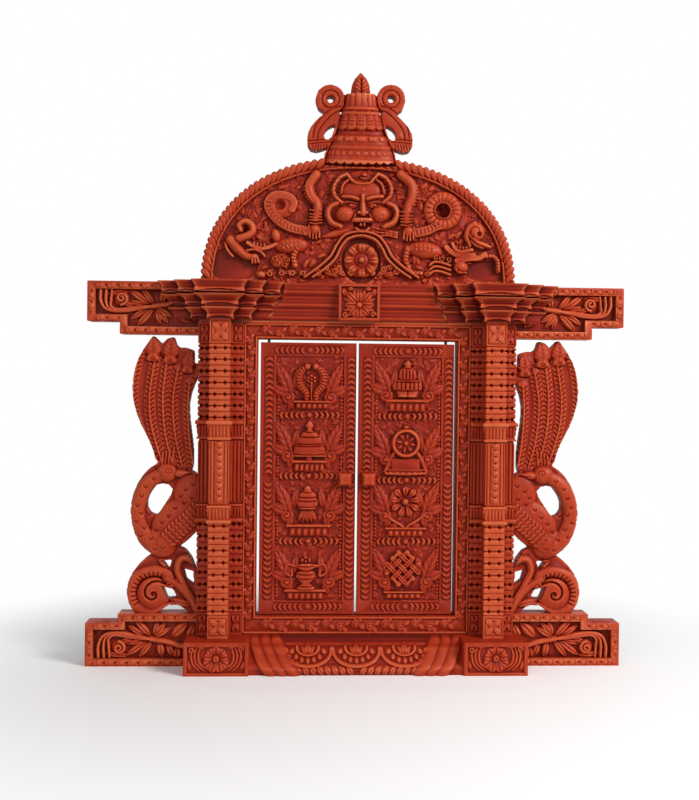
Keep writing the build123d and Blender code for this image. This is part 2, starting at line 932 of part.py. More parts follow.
cell_share = 0.235
cell_middle_shares = (0.845, 0.615, 0.385, 0.155)
tray_shares = (0.42, -0.38, 0.09)
spray_shares = (0.32, -0.08, -28.0, 0.46)
fish_shares = (
    (0.06, -0.3),
    (0.2, -0.2),
    (0.27, 0.02),
    (0.18, 0.24),
    (0.03, 0.34),
    (0.1, 0.18),
    (0.14, 0.02),
    (0.1, -0.12),
)
parasol_shares = ((0.36, -0.24), (0.34, -0.06), (0.22, 0.18), (0.08, 0.28), (0.0, 0.4))
conch_shares = ((0.04, -0.3), (0.14, -0.18), (0.22, 0.0), (0.18, 0.14), (0.1, 0.22), (0.05, 0.34), (0.0, 0.38))
vase_shares = (
    (0.16, -0.3),
    (0.08, -0.22),
    (0.22, -0.06),
    (0.22, 0.06),
    (0.1, 0.14),
    (0.16, 0.22),
    (0.06, 0.34),
    (0.0, 0.4),
)
banner_shares = ((0.12, -0.3), (0.28, -0.1), (0.3, 0.06), (0.2, 0.08), (0.16, 0.26), (0.06, 0.3), (0.0, 0.4))
wheel_stand_shares = ((0.42, -0.32), (0.26, -0.14), (0.12, 0.0))
wheel_shares = (0.26, 0.19, 0.05)
wheel_lift_share = 0.08
spokes = 8
blossom_share = 0.27
blossom_lift_share = 0.1
blossom_petals = 8
stem_leaf_share = 0.44
stem_foot_share = -0.32
knot_shares = (0.24, 0.06)
low_carving_share = 0.5


def fish_pair(size):
    right = polygon(placed(fish_shares, size, size))
    return right + mirrored(right)


def vessel(shares):
    """A symbol that is the same on both sides of its middle line."""

    def symbol(size):
        return polygon(both_sides(placed(shares, size, size)))

    return symbol


def wheel(size):
    """A rim with spokes on a stepped stand."""
    outer, inner, hub = (share * size for share in wheel_shares)
    lift = Pos(0, wheel_lift_share * size)
    disc = RegularPolygon(outer, ring_sides)
    rim = disc - RegularPolygon(inner, ring_sides)
    for i in range(spokes // 2):
        rim += Rot(0, 0, i * 360.0 / spokes) * Rectangle(2 * inner + hub, hub)
    stand = polygon(both_sides(placed(wheel_stand_shares, size, size)))
    return lift * rim + (stand - lift * disc)


def blossom(size):
    """An open flower above two leaves."""
    leaf = petal(stem_leaf_share * size, stem_leaf_share * size / 4)
    symbol = Pos(0, blossom_lift_share * size) * rosette(blossom_share * size, blossom_petals)
    for turn in (-50.0, 50.0):
        symbol += Pos(0, stem_foot_share * size) * Rot(0, 0, turn) * leaf
    return symbol


def knot(size):
    """Straps crossing at right angles, turned to stand on a corner."""
    half, strap = (share * size for share in knot_shares)
    straps = Sketch()
    for place in (-half, 0, half):
        straps += Pos(place, 0) * Rectangle(strap, 2 * half + strap)
        straps += Pos(0, place) * Rectangle(2 * half + strap, strap)
    return Rot(0, 0, 45) * straps


def tray(size):
    """The low stand under a symbol."""
    half, lift, height = (share * size for share in tray_shares)
    return Pos(0, lift) * Rectangle(2 * half, height)


def spray(size):
    """A leaf on each side of a symbol."""
    u, v, turn, length = spray_shares
    leaf = Pos(u * size, v * size) * Rot(0, 0, turn) * petal(length * size, length * size / 2)
    return leaf + mirrored(leaf)


left_symbols = (fish_pair, vessel(parasol_shares), vessel(conch_shares), vessel(vase_shares))
right_symbols = (vessel(banner_shares), wheel, blossom, knot)


def shutter(side, symbols):
    """A carved board that turns on two pins. Side is -1 on the left and 1 on the right."""
    middle = side * (shutter_meeting_gap + shutter_width) / 2
    centre = Pos(middle, shutter_bottom + shutter_height / 2)
    width, height = shutter_width - 2 * shutter_border, shutter_height - 2 * shutter_border
    line = Rectangle(width, height) - Rectangle(width - 2 * shutter_edge_line, height - 2 * shutter_edge_line)
    size = cell_share * shutter_height
    low, high = centre * line, Sketch()
    for v, symbol in zip(cell_middle_shares, symbols):
        place = Pos(middle, shutter_bottom + v * shutter_height)
        low += place * spray(size)
        high += place * (tray(size) + symbol(size))
    seat = knob_square(side)
    low_front = shutter_front + low_carving_share * shutter_relief
    body = board(centre * Rectangle(shutter_width, shutter_height), shutter_stand_off, shutter_front)
    body += board(low - high - seat, shutter_front, low_front)
    body += board(high - seat, shutter_front, shutter_front + shutter_relief)
    body -= pin_end(side * hinge_x, upper_pin_span[0], opening_top, pin_radius + pin_clearance)
    body -= pin_end(side * hinge_x, opening_bottom, lower_pin_span[1], pin_radius + pin_clearance)
    return body - knob_peg(side)


def knob_place(side):
    """Where a knob stands on its shutter's face, at half height."""
    return Pos(side * (shutter_meeting_gap / 2 + knob_inset), shutter_bottom + shutter_height / 2)


def knob_square(side):
    return knob_place(side) * Rectangle(knob_size, knob_size)


def knob_peg(side):
    peg = knob_place(side) * Rectangle(knob_peg_width, knob_peg_width)
    return board(peg, shutter_front - knob_peg_length, shutter_front)


def knob(side):
    """A square knob with a bevelled face and a peg let into the shutter."""
    block = board(knob_square(side), shutter_front, shutter_front + knob_reach)
    face = block.faces().sort_by(Axis.Y)[0]
    return chamfer(face.edges(), knob_bevel) + knob_peg(side)


def build():
    """Every piece by its node name."""
    pieces = {}

    def pair(name, left):
        pieces["left_" + name] = left
        pieces["right_" + name] = mirrored(left)

    post, column, capital, block = left_post(), left_front_column(), left_capital(), lotus_block()
    cornice = cornice_run() - capital - mirrored(capital) - block
    pieces["sill_beam"] = sill_beam() - post - mirrored(post)
    pieces["lintel_beam"] = lintel_beam() - post - mirrored(post) - crest_tenon()
    pieces["head_rail"] = frame_rail(opening_top, frame_top, opening_top, upper_pin_span[1])
    pieces["foot_rail"] = frame_rail(opening_bottom, seat_height, lower_pin_span[0], opening_bottom)
    pair("jamb", left_jamb())
    pair("post", post - bird_tenons())
    pair("front_column", column)
    pair("pedestal", left_pedestal() - column)
    pair("capital", capital)
    pair("bird", left_bird())
    pieces["apron"] = apron()
    pieces["left_cornice"] = cornice.solids().sort_by(Axis.X)[0]
    pieces["right_cornice"] = cornice.solids().sort_by(Axis.X)[-1]
    pieces["lotus_block"] = block
    pieces["crest"] = crest()
    pieces["finial"] = finial()
    for name, side, symbols in (("left", -1, left_symbols), ("right", 1, right_symbols)):
        pieces[name + "_shutter"] = shutter(side, symbols)
        pieces[name + "_knob"] = knob(side)
        pieces[name + "_upper_pin"] = upper_pin(side * hinge_x)
        pieces[name + "_lower_pin"] = lower_pin(side * hinge_x)
    return pieces


os.makedirs("parts", exist_ok=True)
for node, piece in build().items():
    export_step(piece, "parts/" + node + ".step")
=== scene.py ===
import math
import bpy
import bmesh
import numpy as np
from mathutils import Matrix, Vector
from mathutils.bvhtree import BVHTree


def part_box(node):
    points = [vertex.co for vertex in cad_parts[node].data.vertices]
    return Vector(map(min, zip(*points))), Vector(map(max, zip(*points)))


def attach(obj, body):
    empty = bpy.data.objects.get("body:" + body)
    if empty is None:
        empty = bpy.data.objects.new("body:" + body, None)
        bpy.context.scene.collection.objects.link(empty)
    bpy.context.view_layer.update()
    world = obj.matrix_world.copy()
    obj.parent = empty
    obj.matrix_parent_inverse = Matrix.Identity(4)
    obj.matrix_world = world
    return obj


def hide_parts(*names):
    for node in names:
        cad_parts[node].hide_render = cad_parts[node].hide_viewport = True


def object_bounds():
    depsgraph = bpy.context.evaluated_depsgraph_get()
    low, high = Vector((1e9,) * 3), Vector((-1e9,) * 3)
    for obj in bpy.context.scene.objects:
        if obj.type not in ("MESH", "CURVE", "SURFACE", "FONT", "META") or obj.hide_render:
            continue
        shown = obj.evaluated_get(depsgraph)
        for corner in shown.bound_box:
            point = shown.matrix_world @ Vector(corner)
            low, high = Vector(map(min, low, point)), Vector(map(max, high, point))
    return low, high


# %% [markdown]
# # A carved hardwood window
# The window comes in as plain solids: beams, posts, columns, shutters, a crest. What makes the real one
# worth looking at is the carving on every face of it, and that is what this lesson adds. Each piece keeps
# the place of its solid and, apart from the crest's fuller arch, its size. All sizes below are in
# millimetres, and the last step of each piece turns them into Blender's metres.

# %% Load the solids and note their box
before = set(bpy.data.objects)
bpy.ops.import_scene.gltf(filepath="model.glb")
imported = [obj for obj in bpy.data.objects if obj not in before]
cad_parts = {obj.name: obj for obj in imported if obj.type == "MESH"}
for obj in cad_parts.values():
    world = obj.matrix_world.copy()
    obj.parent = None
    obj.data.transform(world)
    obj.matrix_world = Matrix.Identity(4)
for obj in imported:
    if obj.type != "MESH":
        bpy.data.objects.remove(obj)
cad_low, cad_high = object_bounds()
MM = 0.001
wall = cad_high.y / MM


def room(node):
    """A solid's box: from and to in x, in depth from the wall and in z."""
    low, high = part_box(node)
    return (
        (low.x / MM, high.x / MM),
        (wall - high.y / MM, wall - low.y / MM),
        (low.z / MM, high.z / MM),
    )


print("pieces", len(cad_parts), "wall at", round(wall, 2), "mm")

# %% [markdown]
# ## Where the photograph was taken from
# The camera stands a little to the left of the middle and above half height. Its place was worked out
# from corners whose real places are known, so a pixel of the picture can be turned back into a place on
# the window at any depth. The carving of the crest, the finial and the birds is set out that way.

# %% Camera
picture = (699, 800)
focal_pixels = 1050.0
camera_place = Vector((-42.85, -788.15, 214.19))
camera_yaw, camera_pitch, camera_roll = 0.04619, -0.01491, 0.01071

forward = Vector((
    math.sin(camera_yaw) * math.cos(camera_pitch),
    math.cos(camera_yaw) * math.cos(camera_pitch),
    math.sin(camera_pitch),
))
level = Vector((math.cos(camera_yaw), -math.sin(camera_yaw), 0.0))
rightward = level * math.cos(camera_roll) + level.cross(forward) * math.sin(camera_roll)
upward = rightward.cross(forward)

camera = bpy.data.objects.new("camera", bpy.data.cameras.new("camera"))
bpy.context.collection.objects.link(camera)
camera.data.lens = focal_pixels * camera.data.sensor_width / max(picture)
camera.matrix_world = (
    Matrix.Translation(camera_place * MM)
    @ Matrix((rightward, upward, -forward)).transposed().to_4x4()
)
bpy.context.scene.camera = camera


def seen(pixel_x, pixel_y, depth):
    """The x and z of the point that a pixel shows, at this depth from the wall."""
    ray = forward + rightward * ((pixel_x - picture[0] / 2) / focal_pixels)
    ray = ray - upward * ((pixel_y - picture[1] / 2) / focal_pixels)
    point = camera_place + ray * ((wall - depth - camera_place.y) / ray.y)
    return (point.x, point.z)


print("lens", round(camera.data.lens, 1), "mm")

# %% [markdown]
# ## Light and floor
# One large soft lamp stands to the right, in front and above, so that left-facing cuts fall into shade as
# they do in the picture. A weaker one fills from the left. The background is white to the camera and in
# reflections, and dim as a light, so it adds little to the wood. The floor is white paper that keeps the
# window's shadow near its foot and fades into the background further out, so no horizon shows.

# %% Stage
scene = bpy.context.scene
scene.view_settings.view_transform = "Standard"


def lamp(name, place, size, power):
    """A square soft lamp that faces the middle of the window."""
    light = bpy.data.objects.new(name, bpy.data.lights.new(name, "AREA"))
    light.data.size = size
    light.data.energy = power
    light.location = place
    light.rotation_mode = "QUATERNION"
    light.rotation_quaternion = (Vector((0, 0, 0.2)) - light.location).to_track_quat("-Z", "Y")
    bpy.context.collection.objects.link(light)


lamp("key", Vector((0.74, -0.66, 0.72)), 0.42, 12.0)
lamp("fill", Vector((-0.6, -1.5, 0.6)), 1.2, 7.6)


def white_to_camera(tree, dim):
    """Strength 1 where the camera or a reflection looks, and dim where it only lights."""
    rays = tree.nodes.new("ShaderNodeLightPath")
    looked_at = rays.outputs["Is Camera Ray"]
    for ray in ("Is Glossy Ray", "Is Transmission Ray"):
        either = tree.nodes.new("ShaderNodeMath")
        either.operation = "MAXIMUM"
        tree.links.new(looked_at, either.inputs[0])
        tree.links.new(rays.outputs[ray], either.inputs[1])
        looked_at = either.outputs["Value"]
    strength = tree.nodes.new("ShaderNodeMapRange")
    strength.inputs["To Min"].default_value = dim
    strength.inputs["To Max"].default_value = 1.0
    tree.links.new(looked_at, strength.inputs["Value"])
    return strength.outputs["Result"]


world = bpy.data.worlds.new("studio")
world.use_nodes = True
scene.world = world
sky = world.node_tree.nodes["Background"]
sky.inputs["Color"].default_value = (1.0, 1.0, 1.0, 1.0)
world.node_tree.links.new(white_to_camera(world.node_tree, 0.36), sky.inputs["Strength"])

floor_half = 4.0
floor_mesh = bpy.data.meshes.new("floor")
bm = bmesh.new()
bmesh.ops.create_grid(bm, x_segments=1, y_segments=1, size=floor_half)
bm.to_mesh(floor_mesh)
bm.free()
floor = bpy.data.objects.new("floor", floor_mesh)
bpy.context.collection.objects.link(floor)
paper = bpy.data.materials.new("white_paper")
paper.use_nodes = True
paper_tree = paper.node_tree
sheet = paper_tree.nodes["Principled BSDF"]
sheet.inputs["Base Color"].default_value = (0.93, 0.93, 0.93, 1.0)
sheet.inputs["Roughness"].default_value = 0.9
sheet.inputs["Specular IOR Level"].default_value = 0.0
glow = paper_tree.nodes.new("ShaderNodeEmission")
paper_tree.links.new(white_to_camera(paper_tree, 0.36), glow.inputs["Strength"])
floor_place = paper_tree.nodes.new("ShaderNodeTexCoord")
away = paper_tree.nodes.new("ShaderNodeVectorMath")
away.operation = "LENGTH"
fade = paper_tree.nodes.new("ShaderNodeMapRange")
fade.interpolation_type = "SMOOTHSTEP"
fade.inputs["From Min"].default_value = 0.16
fade.inputs["From Max"].default_value = 0.42
blend = paper_tree.nodes.new("ShaderNodeMixShader")
paper_tree.links.new(floor_place.outputs["Object"], away.inputs[0])
paper_tree.links.new(away.outputs["Value"], fade.inputs["Value"])
paper_tree.links.new(fade.outputs["Result"], blend.inputs["Fac"])
paper_tree.links.new(sheet.outputs["BSDF"], blend.inputs[1])
paper_tree.links.new(glow.outputs["Emission"], blend.inputs[2])
paper_tree.links.new(blend.outputs["Shader"], paper_tree.nodes["Material Output"].inputs["Surface"])
floor_mesh.materials.append(paper)
print("stage: floor", 2 * floor_half, "m wide, two lamps")

# %% [markdown]
# ## The stained, lacquered wood and its painted shade
# The real window is stained red-brown and lacquered. Each carved piece stores one number per point, how far
# it stands above or below its surroundings, and the material turns that number into colour: nearly black-red
# in the cuts, which is dark staining and painted shade together, and paler on the high edges, which is
# rubbed wear and a painted highlight together. A fine grain and a slow drift of tone run along the wood. The
# colour and the grain are groups, because the pieces with upright grain and those with level grain share
# them.

# %% Shared effects


def new_group(name, inputs, outputs):
    """An empty shader group with named sockets, and its two ends."""
    group = bpy.data.node_groups.new(name, "ShaderNodeTree")
    for socket, kind, value in inputs:
        made = group.interface.new_socket(socket, in_out="INPUT", socket_type=kind)
        if value is not None:
            made.default_value = value
    for socket, kind in outputs:
        group.interface.new_socket(socket, in_out="OUTPUT", socket_type=kind)
    return group, group.nodes.new("NodeGroupInput"), group.nodes.new("NodeGroupOutput")


def grain_group():
    """Fine streaks and a slow drift of tone along one direction of the wood."""
    group, start, end = new_group(
        "wood_grain",
        [("Place", "NodeSocketVector", None)],
        [("Streak", "NodeSocketFloat"), ("Drift", "NodeSocketFloat")],
    )
    for output, scale, detail in (("Streak", 9.0, 6.0), ("Drift", 1.2, 2.0)):
        noise = group.nodes.new("ShaderNodeTexNoise")
        noise.inputs["Scale"].default_value = scale
        noise.inputs["Detail"].default_value = detail
        noise.inputs["Roughness"].default_value = 0.6
        group.links.new(start.outputs["Place"], noise.inputs["Vector"])
        group.links.new(noise.outputs["Fac"], end.inputs[output])
    return group


def stain_and_painted_shade_group():
    """Dark staining and painted shade in the cuts, plain stained colour on the faces, and rubbed wear with a
    painted highlight on the high edges.
    """
    group, start, end = new_group(
        "stain_and_painted_shade",
        [
            ("Relief", "NodeSocketFloat", 0.5),
            ("Tone", "NodeSocketFloat", 0.0),
            ("Streak", "NodeSocketFloat", 0.5),
            ("Drift", "NodeSocketFloat", 0.5),
        ],
        [("Color", "NodeSocketColor"), ("Roughness", "NodeSocketFloat"), ("Bump", "NodeSocketFloat")],
    )
    # The ramp's dark end paints shade into the cuts as well as dark staining, and its pale end paints a
    # highlight on the high edges as well as rubbed wear.
    ramp = group.nodes.new("ShaderNodeValToRGB")
    stops = (
        (0.0, (0.090, 0.0035, 0.0010)),
        (0.30, (0.200, 0.0100, 0.0026)),
        (0.50, (0.310, 0.0230, 0.0056)),
        (0.72, (0.430, 0.0560, 0.0170)),
        (1.0, (0.540, 0.1150, 0.0420)),
    )
    while len(ramp.color_ramp.elements) < len(stops):
        ramp.color_ramp.elements.new(0.5)
    for element, (place, colour) in zip(ramp.color_ramp.elements, stops):
        element.position = place
        element.color = (*colour, 1.0)
    mixed = group.nodes.new("ShaderNodeMath")
    mixed.operation = "MULTIPLY_ADD"
    mixed.inputs[1].default_value = 0.22
    group.links.new(start.outputs["Streak"], mixed.inputs[0])
    lowered = group.nodes.new("ShaderNodeMath")
    lowered.operation = "MULTIPLY_ADD"
    lowered.inputs[1].default_value = 0.30
    group.links.new(start.outputs["Drift"], lowered.inputs[0])
    centred = group.nodes.new("ShaderNodeMath")
    centred.operation = "SUBTRACT"
    centred.inputs[1].default_value = 0.26
    toned = group.nodes.new("ShaderNodeMath")
    group.links.new(start.outputs["Relief"], toned.inputs[0])
    group.links.new(start.outputs["Tone"], toned.inputs[1])
    group.links.new(toned.outputs[0], centred.inputs[0])
    group.links.new(centred.outputs[0], lowered.inputs[2])
    group.links.new(lowered.outputs[0], mixed.inputs[2])
    group.links.new(mixed.outputs[0], ramp.inputs["Fac"])
    group.links.new(ramp.outputs["Color"], end.inputs["Color"])
    gloss = group.nodes.new("ShaderNodeMapRange")
    gloss.inputs["To Min"].default_value = 0.62
    gloss.inputs["To Max"].default_value = 0.34
    group.links.new(mixed.outputs[0], gloss.inputs["Value"])
    group.links.new(gloss.outputs["Result"], end.inputs["Roughness"])
    group.links.new(start.outputs["Streak"], end.inputs["Bump"])
    return group


grain, stain_and_painted_shade = grain_group(), stain_and_painted_shade_group()


def stained_wood(name, stretch, tone=0.0):
    """A lacquered wood whose grain runs along the direction with the smallest stretch."""
    material = bpy.data.materials.new(name)
    material.use_nodes = True
    tree = material.node_tree
    shader = tree.nodes["Principled BSDF"]
    place = tree.nodes.new("ShaderNodeTexCoord")
    mapping = tree.nodes.new("ShaderNodeMapping")
    mapping.inputs["Scale"].default_value = stretch
    streaks = tree.nodes.new("ShaderNodeGroup")
    streaks.node_tree = grain
    stain_and_shade_node = tree.nodes.new("ShaderNodeGroup")
    stain_and_shade_node.node_tree = stain_and_painted_shade
    stain_and_shade_node.inputs["Tone"].default_value = tone
    # The relief value drives painted shade in the cuts and a painted highlight on the high edges.
    relief = tree.nodes.new("ShaderNodeAttribute")
    relief.attribute_name = "relief"
    bump = tree.nodes.new("ShaderNodeBump")
    bump.inputs["Strength"].default_value = 0.12
    bump.inputs["Distance"].default_value = 0.0006
    tree.links.new(place.outputs["Object"], mapping.inputs["Vector"])
    tree.links.new(mapping.outputs["Vector"], streaks.inputs["Place"])
    tree.links.new(streaks.outputs["Streak"], stain_and_shade_node.inputs["Streak"])
    tree.links.new(streaks.outputs["Drift"], stain_and_shade_node.inputs["Drift"])
    tree.links.new(relief.outputs["Fac"], stain_and_shade_node.inputs["Relief"])
    tree.links.new(stain_and_shade_node.outputs["Color"], shader.inputs["Base Color"])
    tree.links.new(stain_and_shade_node.outputs["Roughness"], shader.inputs["Roughness"])
    tree.links.new(stain_and_shade_node.outputs["Bump"], bump.inputs["Height"])
    tree.links.new(bump.outputs["Normal"], shader.inputs["Normal"])
    shader.inputs["Specular IOR Level"].default_value = 0.12
    shader.inputs["Coat Weight"].default_value = 0.05
    shader.inputs["Coat Roughness"].default_value = 0.25
    return material


upright_wood = stained_wood("upright_stained_wood", (60.0, 60.0, 7.0))
level_wood = stained_wood("level_stained_wood", (7.0, 60.0, 60.0))
# The column's paler tone paints light onto its front, and the post's darker tone paints shade onto the strips
# set back beside the column.
painted_lit_column_wood = stained_wood("column_wood_with_painted_light", (60.0, 60.0, 7.0), 0.20)
painted_shade_post_wood = stained_wood("post_wood_with_painted_shade", (60.0, 60.0, 7.0), -0.04)
shutter_wood = stained_wood("deep_shutter_wood", (60.0, 60.0, 7.0), -0.09)
cornice_wood = stained_wood("deep_cornice_wood", (7.0, 60.0, 60.0), -0.10)
beam_wood = stained_wood("pale_beam_wood", (7.0, 60.0, 60.0), 0.08)
print("woods", upright_wood.name, level_wood.name, painted_lit_column_wood.name, shutter_wood.name, beam_wood.name)

# %% [markdown]
# ## The carver's tools
# Relief carving starts from a flat board and only ever goes down or leaves wood standing, so a grid of
# heights can hold all of it. A blank is such a grid. Its tools are named for what they leave: a leaf, a
# mound, a cord, a ridge, a groove. Sculpting by hand could do the same, but a grid of heights gives the
# same carving each run. The highest form wins where two meet, as when one leaf lies over another.

# %% Curves and blurring


def smooth_line(points, closed=False, spacing=0.3):
    """Points along a smooth curve through a few chosen ones."""
    p = np.array(points, float)
    if closed:
        p = np.vstack([p[-1], p, p[:2]])
    else:
        p = np.vstack([2 * p[0] - p[1], p, 2 * p[-1] - p[-2]])
    runs = []
    for a, b, c, d in zip(p, p[1:], p[2:], p[3:]):
        t = np.linspace(0, 1, max(2, int(math.dist(b, c) / spacing) + 1), endpoint=False)[:, None]
        bend = (2 * a - 5 * b + 4 * c - d) * t**2 + (3 * b - a - 3 * c + d) * t**3
        runs.append((2 * b + (c - a) * t + bend) / 2)
    return np.vstack(runs + [p[-2:-1]])


def steps_along(points, pitch, closed=False):
    """Places at even steps along a smooth curve, each with the direction ahead in degrees."""
    line = smooth_line(points, closed)
    along = np.concatenate([[0], np.cumsum(np.hypot(*np.diff(line, axis=0).T))])
    count = max(1, round(along[-1] / pitch))
    places = (np.arange(count) + 0.5) * along[-1] / count
    x, z = (np.interp(places, along, line[:, k]) for k in (0, 1))
    dx, dz = (np.interp(places, along, slope) for slope in np.gradient(line, axis=0).T)
    return list(zip(x, z, np.degrees(np.arctan2(dx, dz))))


def ring_of(centre, across, upright, sides):
    """Places round a circle or an oval, for a closed cord or groove."""
    turns = np.linspace(0, 6.28, sides + 1)[:-1]
    return [(centre[0] + across * math.cos(a), centre[1] + upright * math.sin(a)) for a in turns]


def spiral(x, z, radius, turns, start=0.0, shrink=0.4):
    """Points of a coil that starts at an angle and winds inwards, to the left for negative turns."""
    count = max(8, int(abs(turns) * 12))
    share = np.arange(count + 1) / count
    angle = math.radians(start) + 2 * math.pi * turns * share
    reach = radius * shrink ** (abs(turns) * share)
    return np.column_stack([x + reach * np.cos(angle), z + reach * np.sin(angle)])


def soften(field, cells, mode="edge"):
    """A Gaussian blur, one direction at a time."""
    reach = math.ceil(3 * cells)
    weights = np.exp(-0.5 * (np.arange(-reach, reach + 1) / cells) ** 2)
    weights = weights / weights.sum()
    for axis in (0, 1):
        margin = [(reach, reach) if a == axis else (0, 0) for a in (0, 1)]
        wide = np.pad(field, margin, mode=mode)
        count = field.shape[axis]
        field = sum(w * np.take(wide, range(k, k + count), axis) for k, w in enumerate(weights))
    return field


def rounded(across, along):
    """The section of a half-round cord."""
    return np.sqrt(np.clip(1 - across**2, 0, 1))


def flat_strap(across, along):
    """A flat strap with a soft edge and a line near each side."""
    line = 0.3 * np.exp(-(((np.abs(across) - 0.62) / 0.13) ** 2))
    return np.clip(1 - np.abs(across) ** 6, 0, 1) ** 0.5 - line


def twisted(pitch, depth=0.35, slant=0.45):
    """A half-round section cut by slanting grooves, as on a rope or a row of leaves."""

    def section(across, along):
        wave = np.abs(np.sin(np.pi * (along / pitch + slant * across)))
        return rounded(across, along) * (1 - depth * (1 - wave) ** 2)

    return section


print("curves and blurring ready")

# %% The blank and its tools
# These gains set how strongly the relief value paints shade into the cuts and a highlight onto the high
# edges.
relief_gain, broad_gain = 0.30, 0.11
fine_reach, broad_reach = 0.9, 3.0


class Blank:
    """A board to be carved: a grid of points in x and z, each with a height from the wall."""

    def __init__(self, x, z, ground, step=0.45):
        self.low = np.array([x[0], z[0]])
        self.cells = np.array([round((x[1] - x[0]) / step), round((z[1] - z[0]) / step)])
        self.step = np.array([x[1] - x[0], z[1] - z[0]]) / self.cells
        self.x, self.z = np.meshgrid(
            np.linspace(*x, self.cells[0] + 1), np.linspace(*z, self.cells[1] + 1)
        )
        self.ground = ground
        self.height = np.full(self.x.shape, float(ground))
        self.wood = np.ones(self.x.shape)

    def patch(self, low, high):
        """The part of the grid inside a box."""
        first = np.clip(np.floor((np.array(low) - self.low) / self.step), 0, self.cells + 1).astype(int)
        last = np.clip(np.ceil((np.array(high) - self.low) / self.step) + 1, 0, self.cells + 1).astype(int)
        return np.s_[first[1]:last[1], first[0]:last[0]]

    def near(self, x, z, reach):
        return self.patch((x - reach, z - reach), (x + reach, z + reach))

    def turned_about(self, patch, x, z, turn):
        """How far the points of a patch lie across and along a direction that leans right by turn."""
        dx, dz = self.x[patch] - x, self.z[patch] - z
        c, s = math.cos(math.radians(turn)), math.sin(math.radians(turn))
        return dx * c - dz * s, dx * s + dz * c

    def leave(self, patch, where, height):
        """Leaves wood standing where it is higher than what is there."""
        now = self.height[patch]
        self.height[patch] = np.where(where & (height > now), height, now)

    def floor_of(self, base, patch):
        """The height a form stands on: the ground, a number, or a whole field of heights."""
        if base is None:
            return self.ground
        return base[patch] if isinstance(base, np.ndarray) else base

    def mound(self, x, z, width, length, rise, turn=0.0, base=None, power=0.5):
        patch = self.near(x, z, max(width, length) / 2)
        across, along = self.turned_about(patch, x, z, turn)
        r = (2 * across / width) ** 2 + (2 * along / length) ** 2
        self.leave(patch, r < 1, self.floor_of(base, patch) + rise * np.clip(1 - r, 0, 1) ** power)

    def leaf(self, x, z, length, width, rise, turn=0.0, base=None, rib=0.3, belly=0.42, tip=1.0,
             veins=0, bend=0.0):
        """A leaf from its root: belly is where it is widest, a low tip value makes it blunt."""
        lean = math.radians(turn)
        reach = 0.5 * length + 0.5 * width + abs(bend) * length
        patch = self.near(x + length / 2 * math.sin(lean), z + length / 2 * math.cos(lean), reach)
        across, along = self.turned_about(patch, x, z, turn)
        t = np.clip(along / length, 0, 1)
        across = across - bend * length * t**2
        swell = np.sin(np.pi * t ** (math.log(0.5) / math.log(belly)))
        half = width / 2 * swell**tip + 1e-6
        q = np.abs(across) / half
        dome = np.sqrt(np.clip(1 - q**2, 0, 1)) * (0.45 + 0.55 * swell)
        height = self.floor_of(base, patch) + rise * dome
        height = height - rib * rise * np.exp(-((across / (0.09 * width + 0.12)) ** 2)) * (t < 0.9)
        if veins:
            height = height - 0.16 * rise * (0.5 + 0.5 * np.cos(2 * np.pi * veins * (t - 0.22 * q)))
        self.leave(patch, (q < 1) & (along > 0) & (along < length), height)

    def line_places(self, points, half, closed):
        """For the patch round a curve: how far each point lies across it, in halves, and along it."""
        line = smooth_line(points, closed)
        runs = np.hypot(*np.diff(line, axis=0).T)
        along = np.concatenate([[0], np.cumsum(runs)])
        half = half * np.ones(len(line)) if np.isscalar(half) else half(along / along[-1])
        patch = self.patch(line.min(0) - half.max(), line.max(0) + half.max())
        x, z = self.x[patch], self.z[patch]
        best, which = np.full(x.shape, np.inf), np.zeros(x.shape, int)
        corner = np.array([patch[1].start, patch[0].start])
        for k, point in enumerate(line):
            near = self.near(*point, half[k])
            inside = np.s_[
                near[0].start - corner[1]:near[0].stop - corner[1],
                near[1].start - corner[0]:near[1].stop - corner[0],
            ]
            gap = (x[inside] - point[0]) ** 2 + (z[inside] - point[1]) ** 2
            closer = gap < best[inside]
            best[inside] = np.where(closer, gap, best[inside])
            which[inside] = np.where(closer, k, which[inside])
        slope = np.gradient(line, axis=0)
        slope = slope / np.maximum(np.hypot(*slope.T), 1e-9)[:, None]
        side = (x - line[which, 0]) * slope[which, 1] - (z - line[which, 1]) * slope[which, 0]
        across = np.sign(side) * np.sqrt(best) / np.maximum(half[which], 1e-6)
        return patch, across, along[which], along[which] / along[-1]

    def cord(self, points, width, rise, base=None, section=rounded, taper=None, closed=False, wood=False):
        """A raised cord along a smooth curve. A taper gives its width as a share, along its length."""
        half = width / 2 if taper is None else (lambda share: width / 2 * taper(share))
        patch, across, along, share = self.line_places(points, half, closed)
        inside = np.abs(across) < 1
        full = rise if taper is None else rise * np.sqrt(np.clip(taper(share), 0, 1))
        height = self.floor_of(base, patch) + full * section(np.where(inside, across, 0), along)
        if wood:
            self.wood[patch] = np.where(inside, 1.0, self.wood[patch])
        self.leave(patch, inside, height)

    def groove(self, points, width, depth, closed=False, taper=None):
        """A cut with a round bottom along a smooth curve."""
        half = width / 2 if taper is None else (lambda share: width / 2 * taper(share))
        patch, across, _, _ = self.line_places(points, half, closed)
        cut = np.where(np.abs(across) < 1, depth * np.clip(1 - across**2, 0, 1), 0)
        self.height[patch] -= cut

    def punch(self, x, z, radius, depth):
        """A round dent."""
        patch = self.near(x, z, radius)
        r = ((self.x[patch] - x) ** 2 + (self.z[patch] - z) ** 2) / radius**2
        self.height[patch] -= depth * np.clip(1 - r, 0, 1)

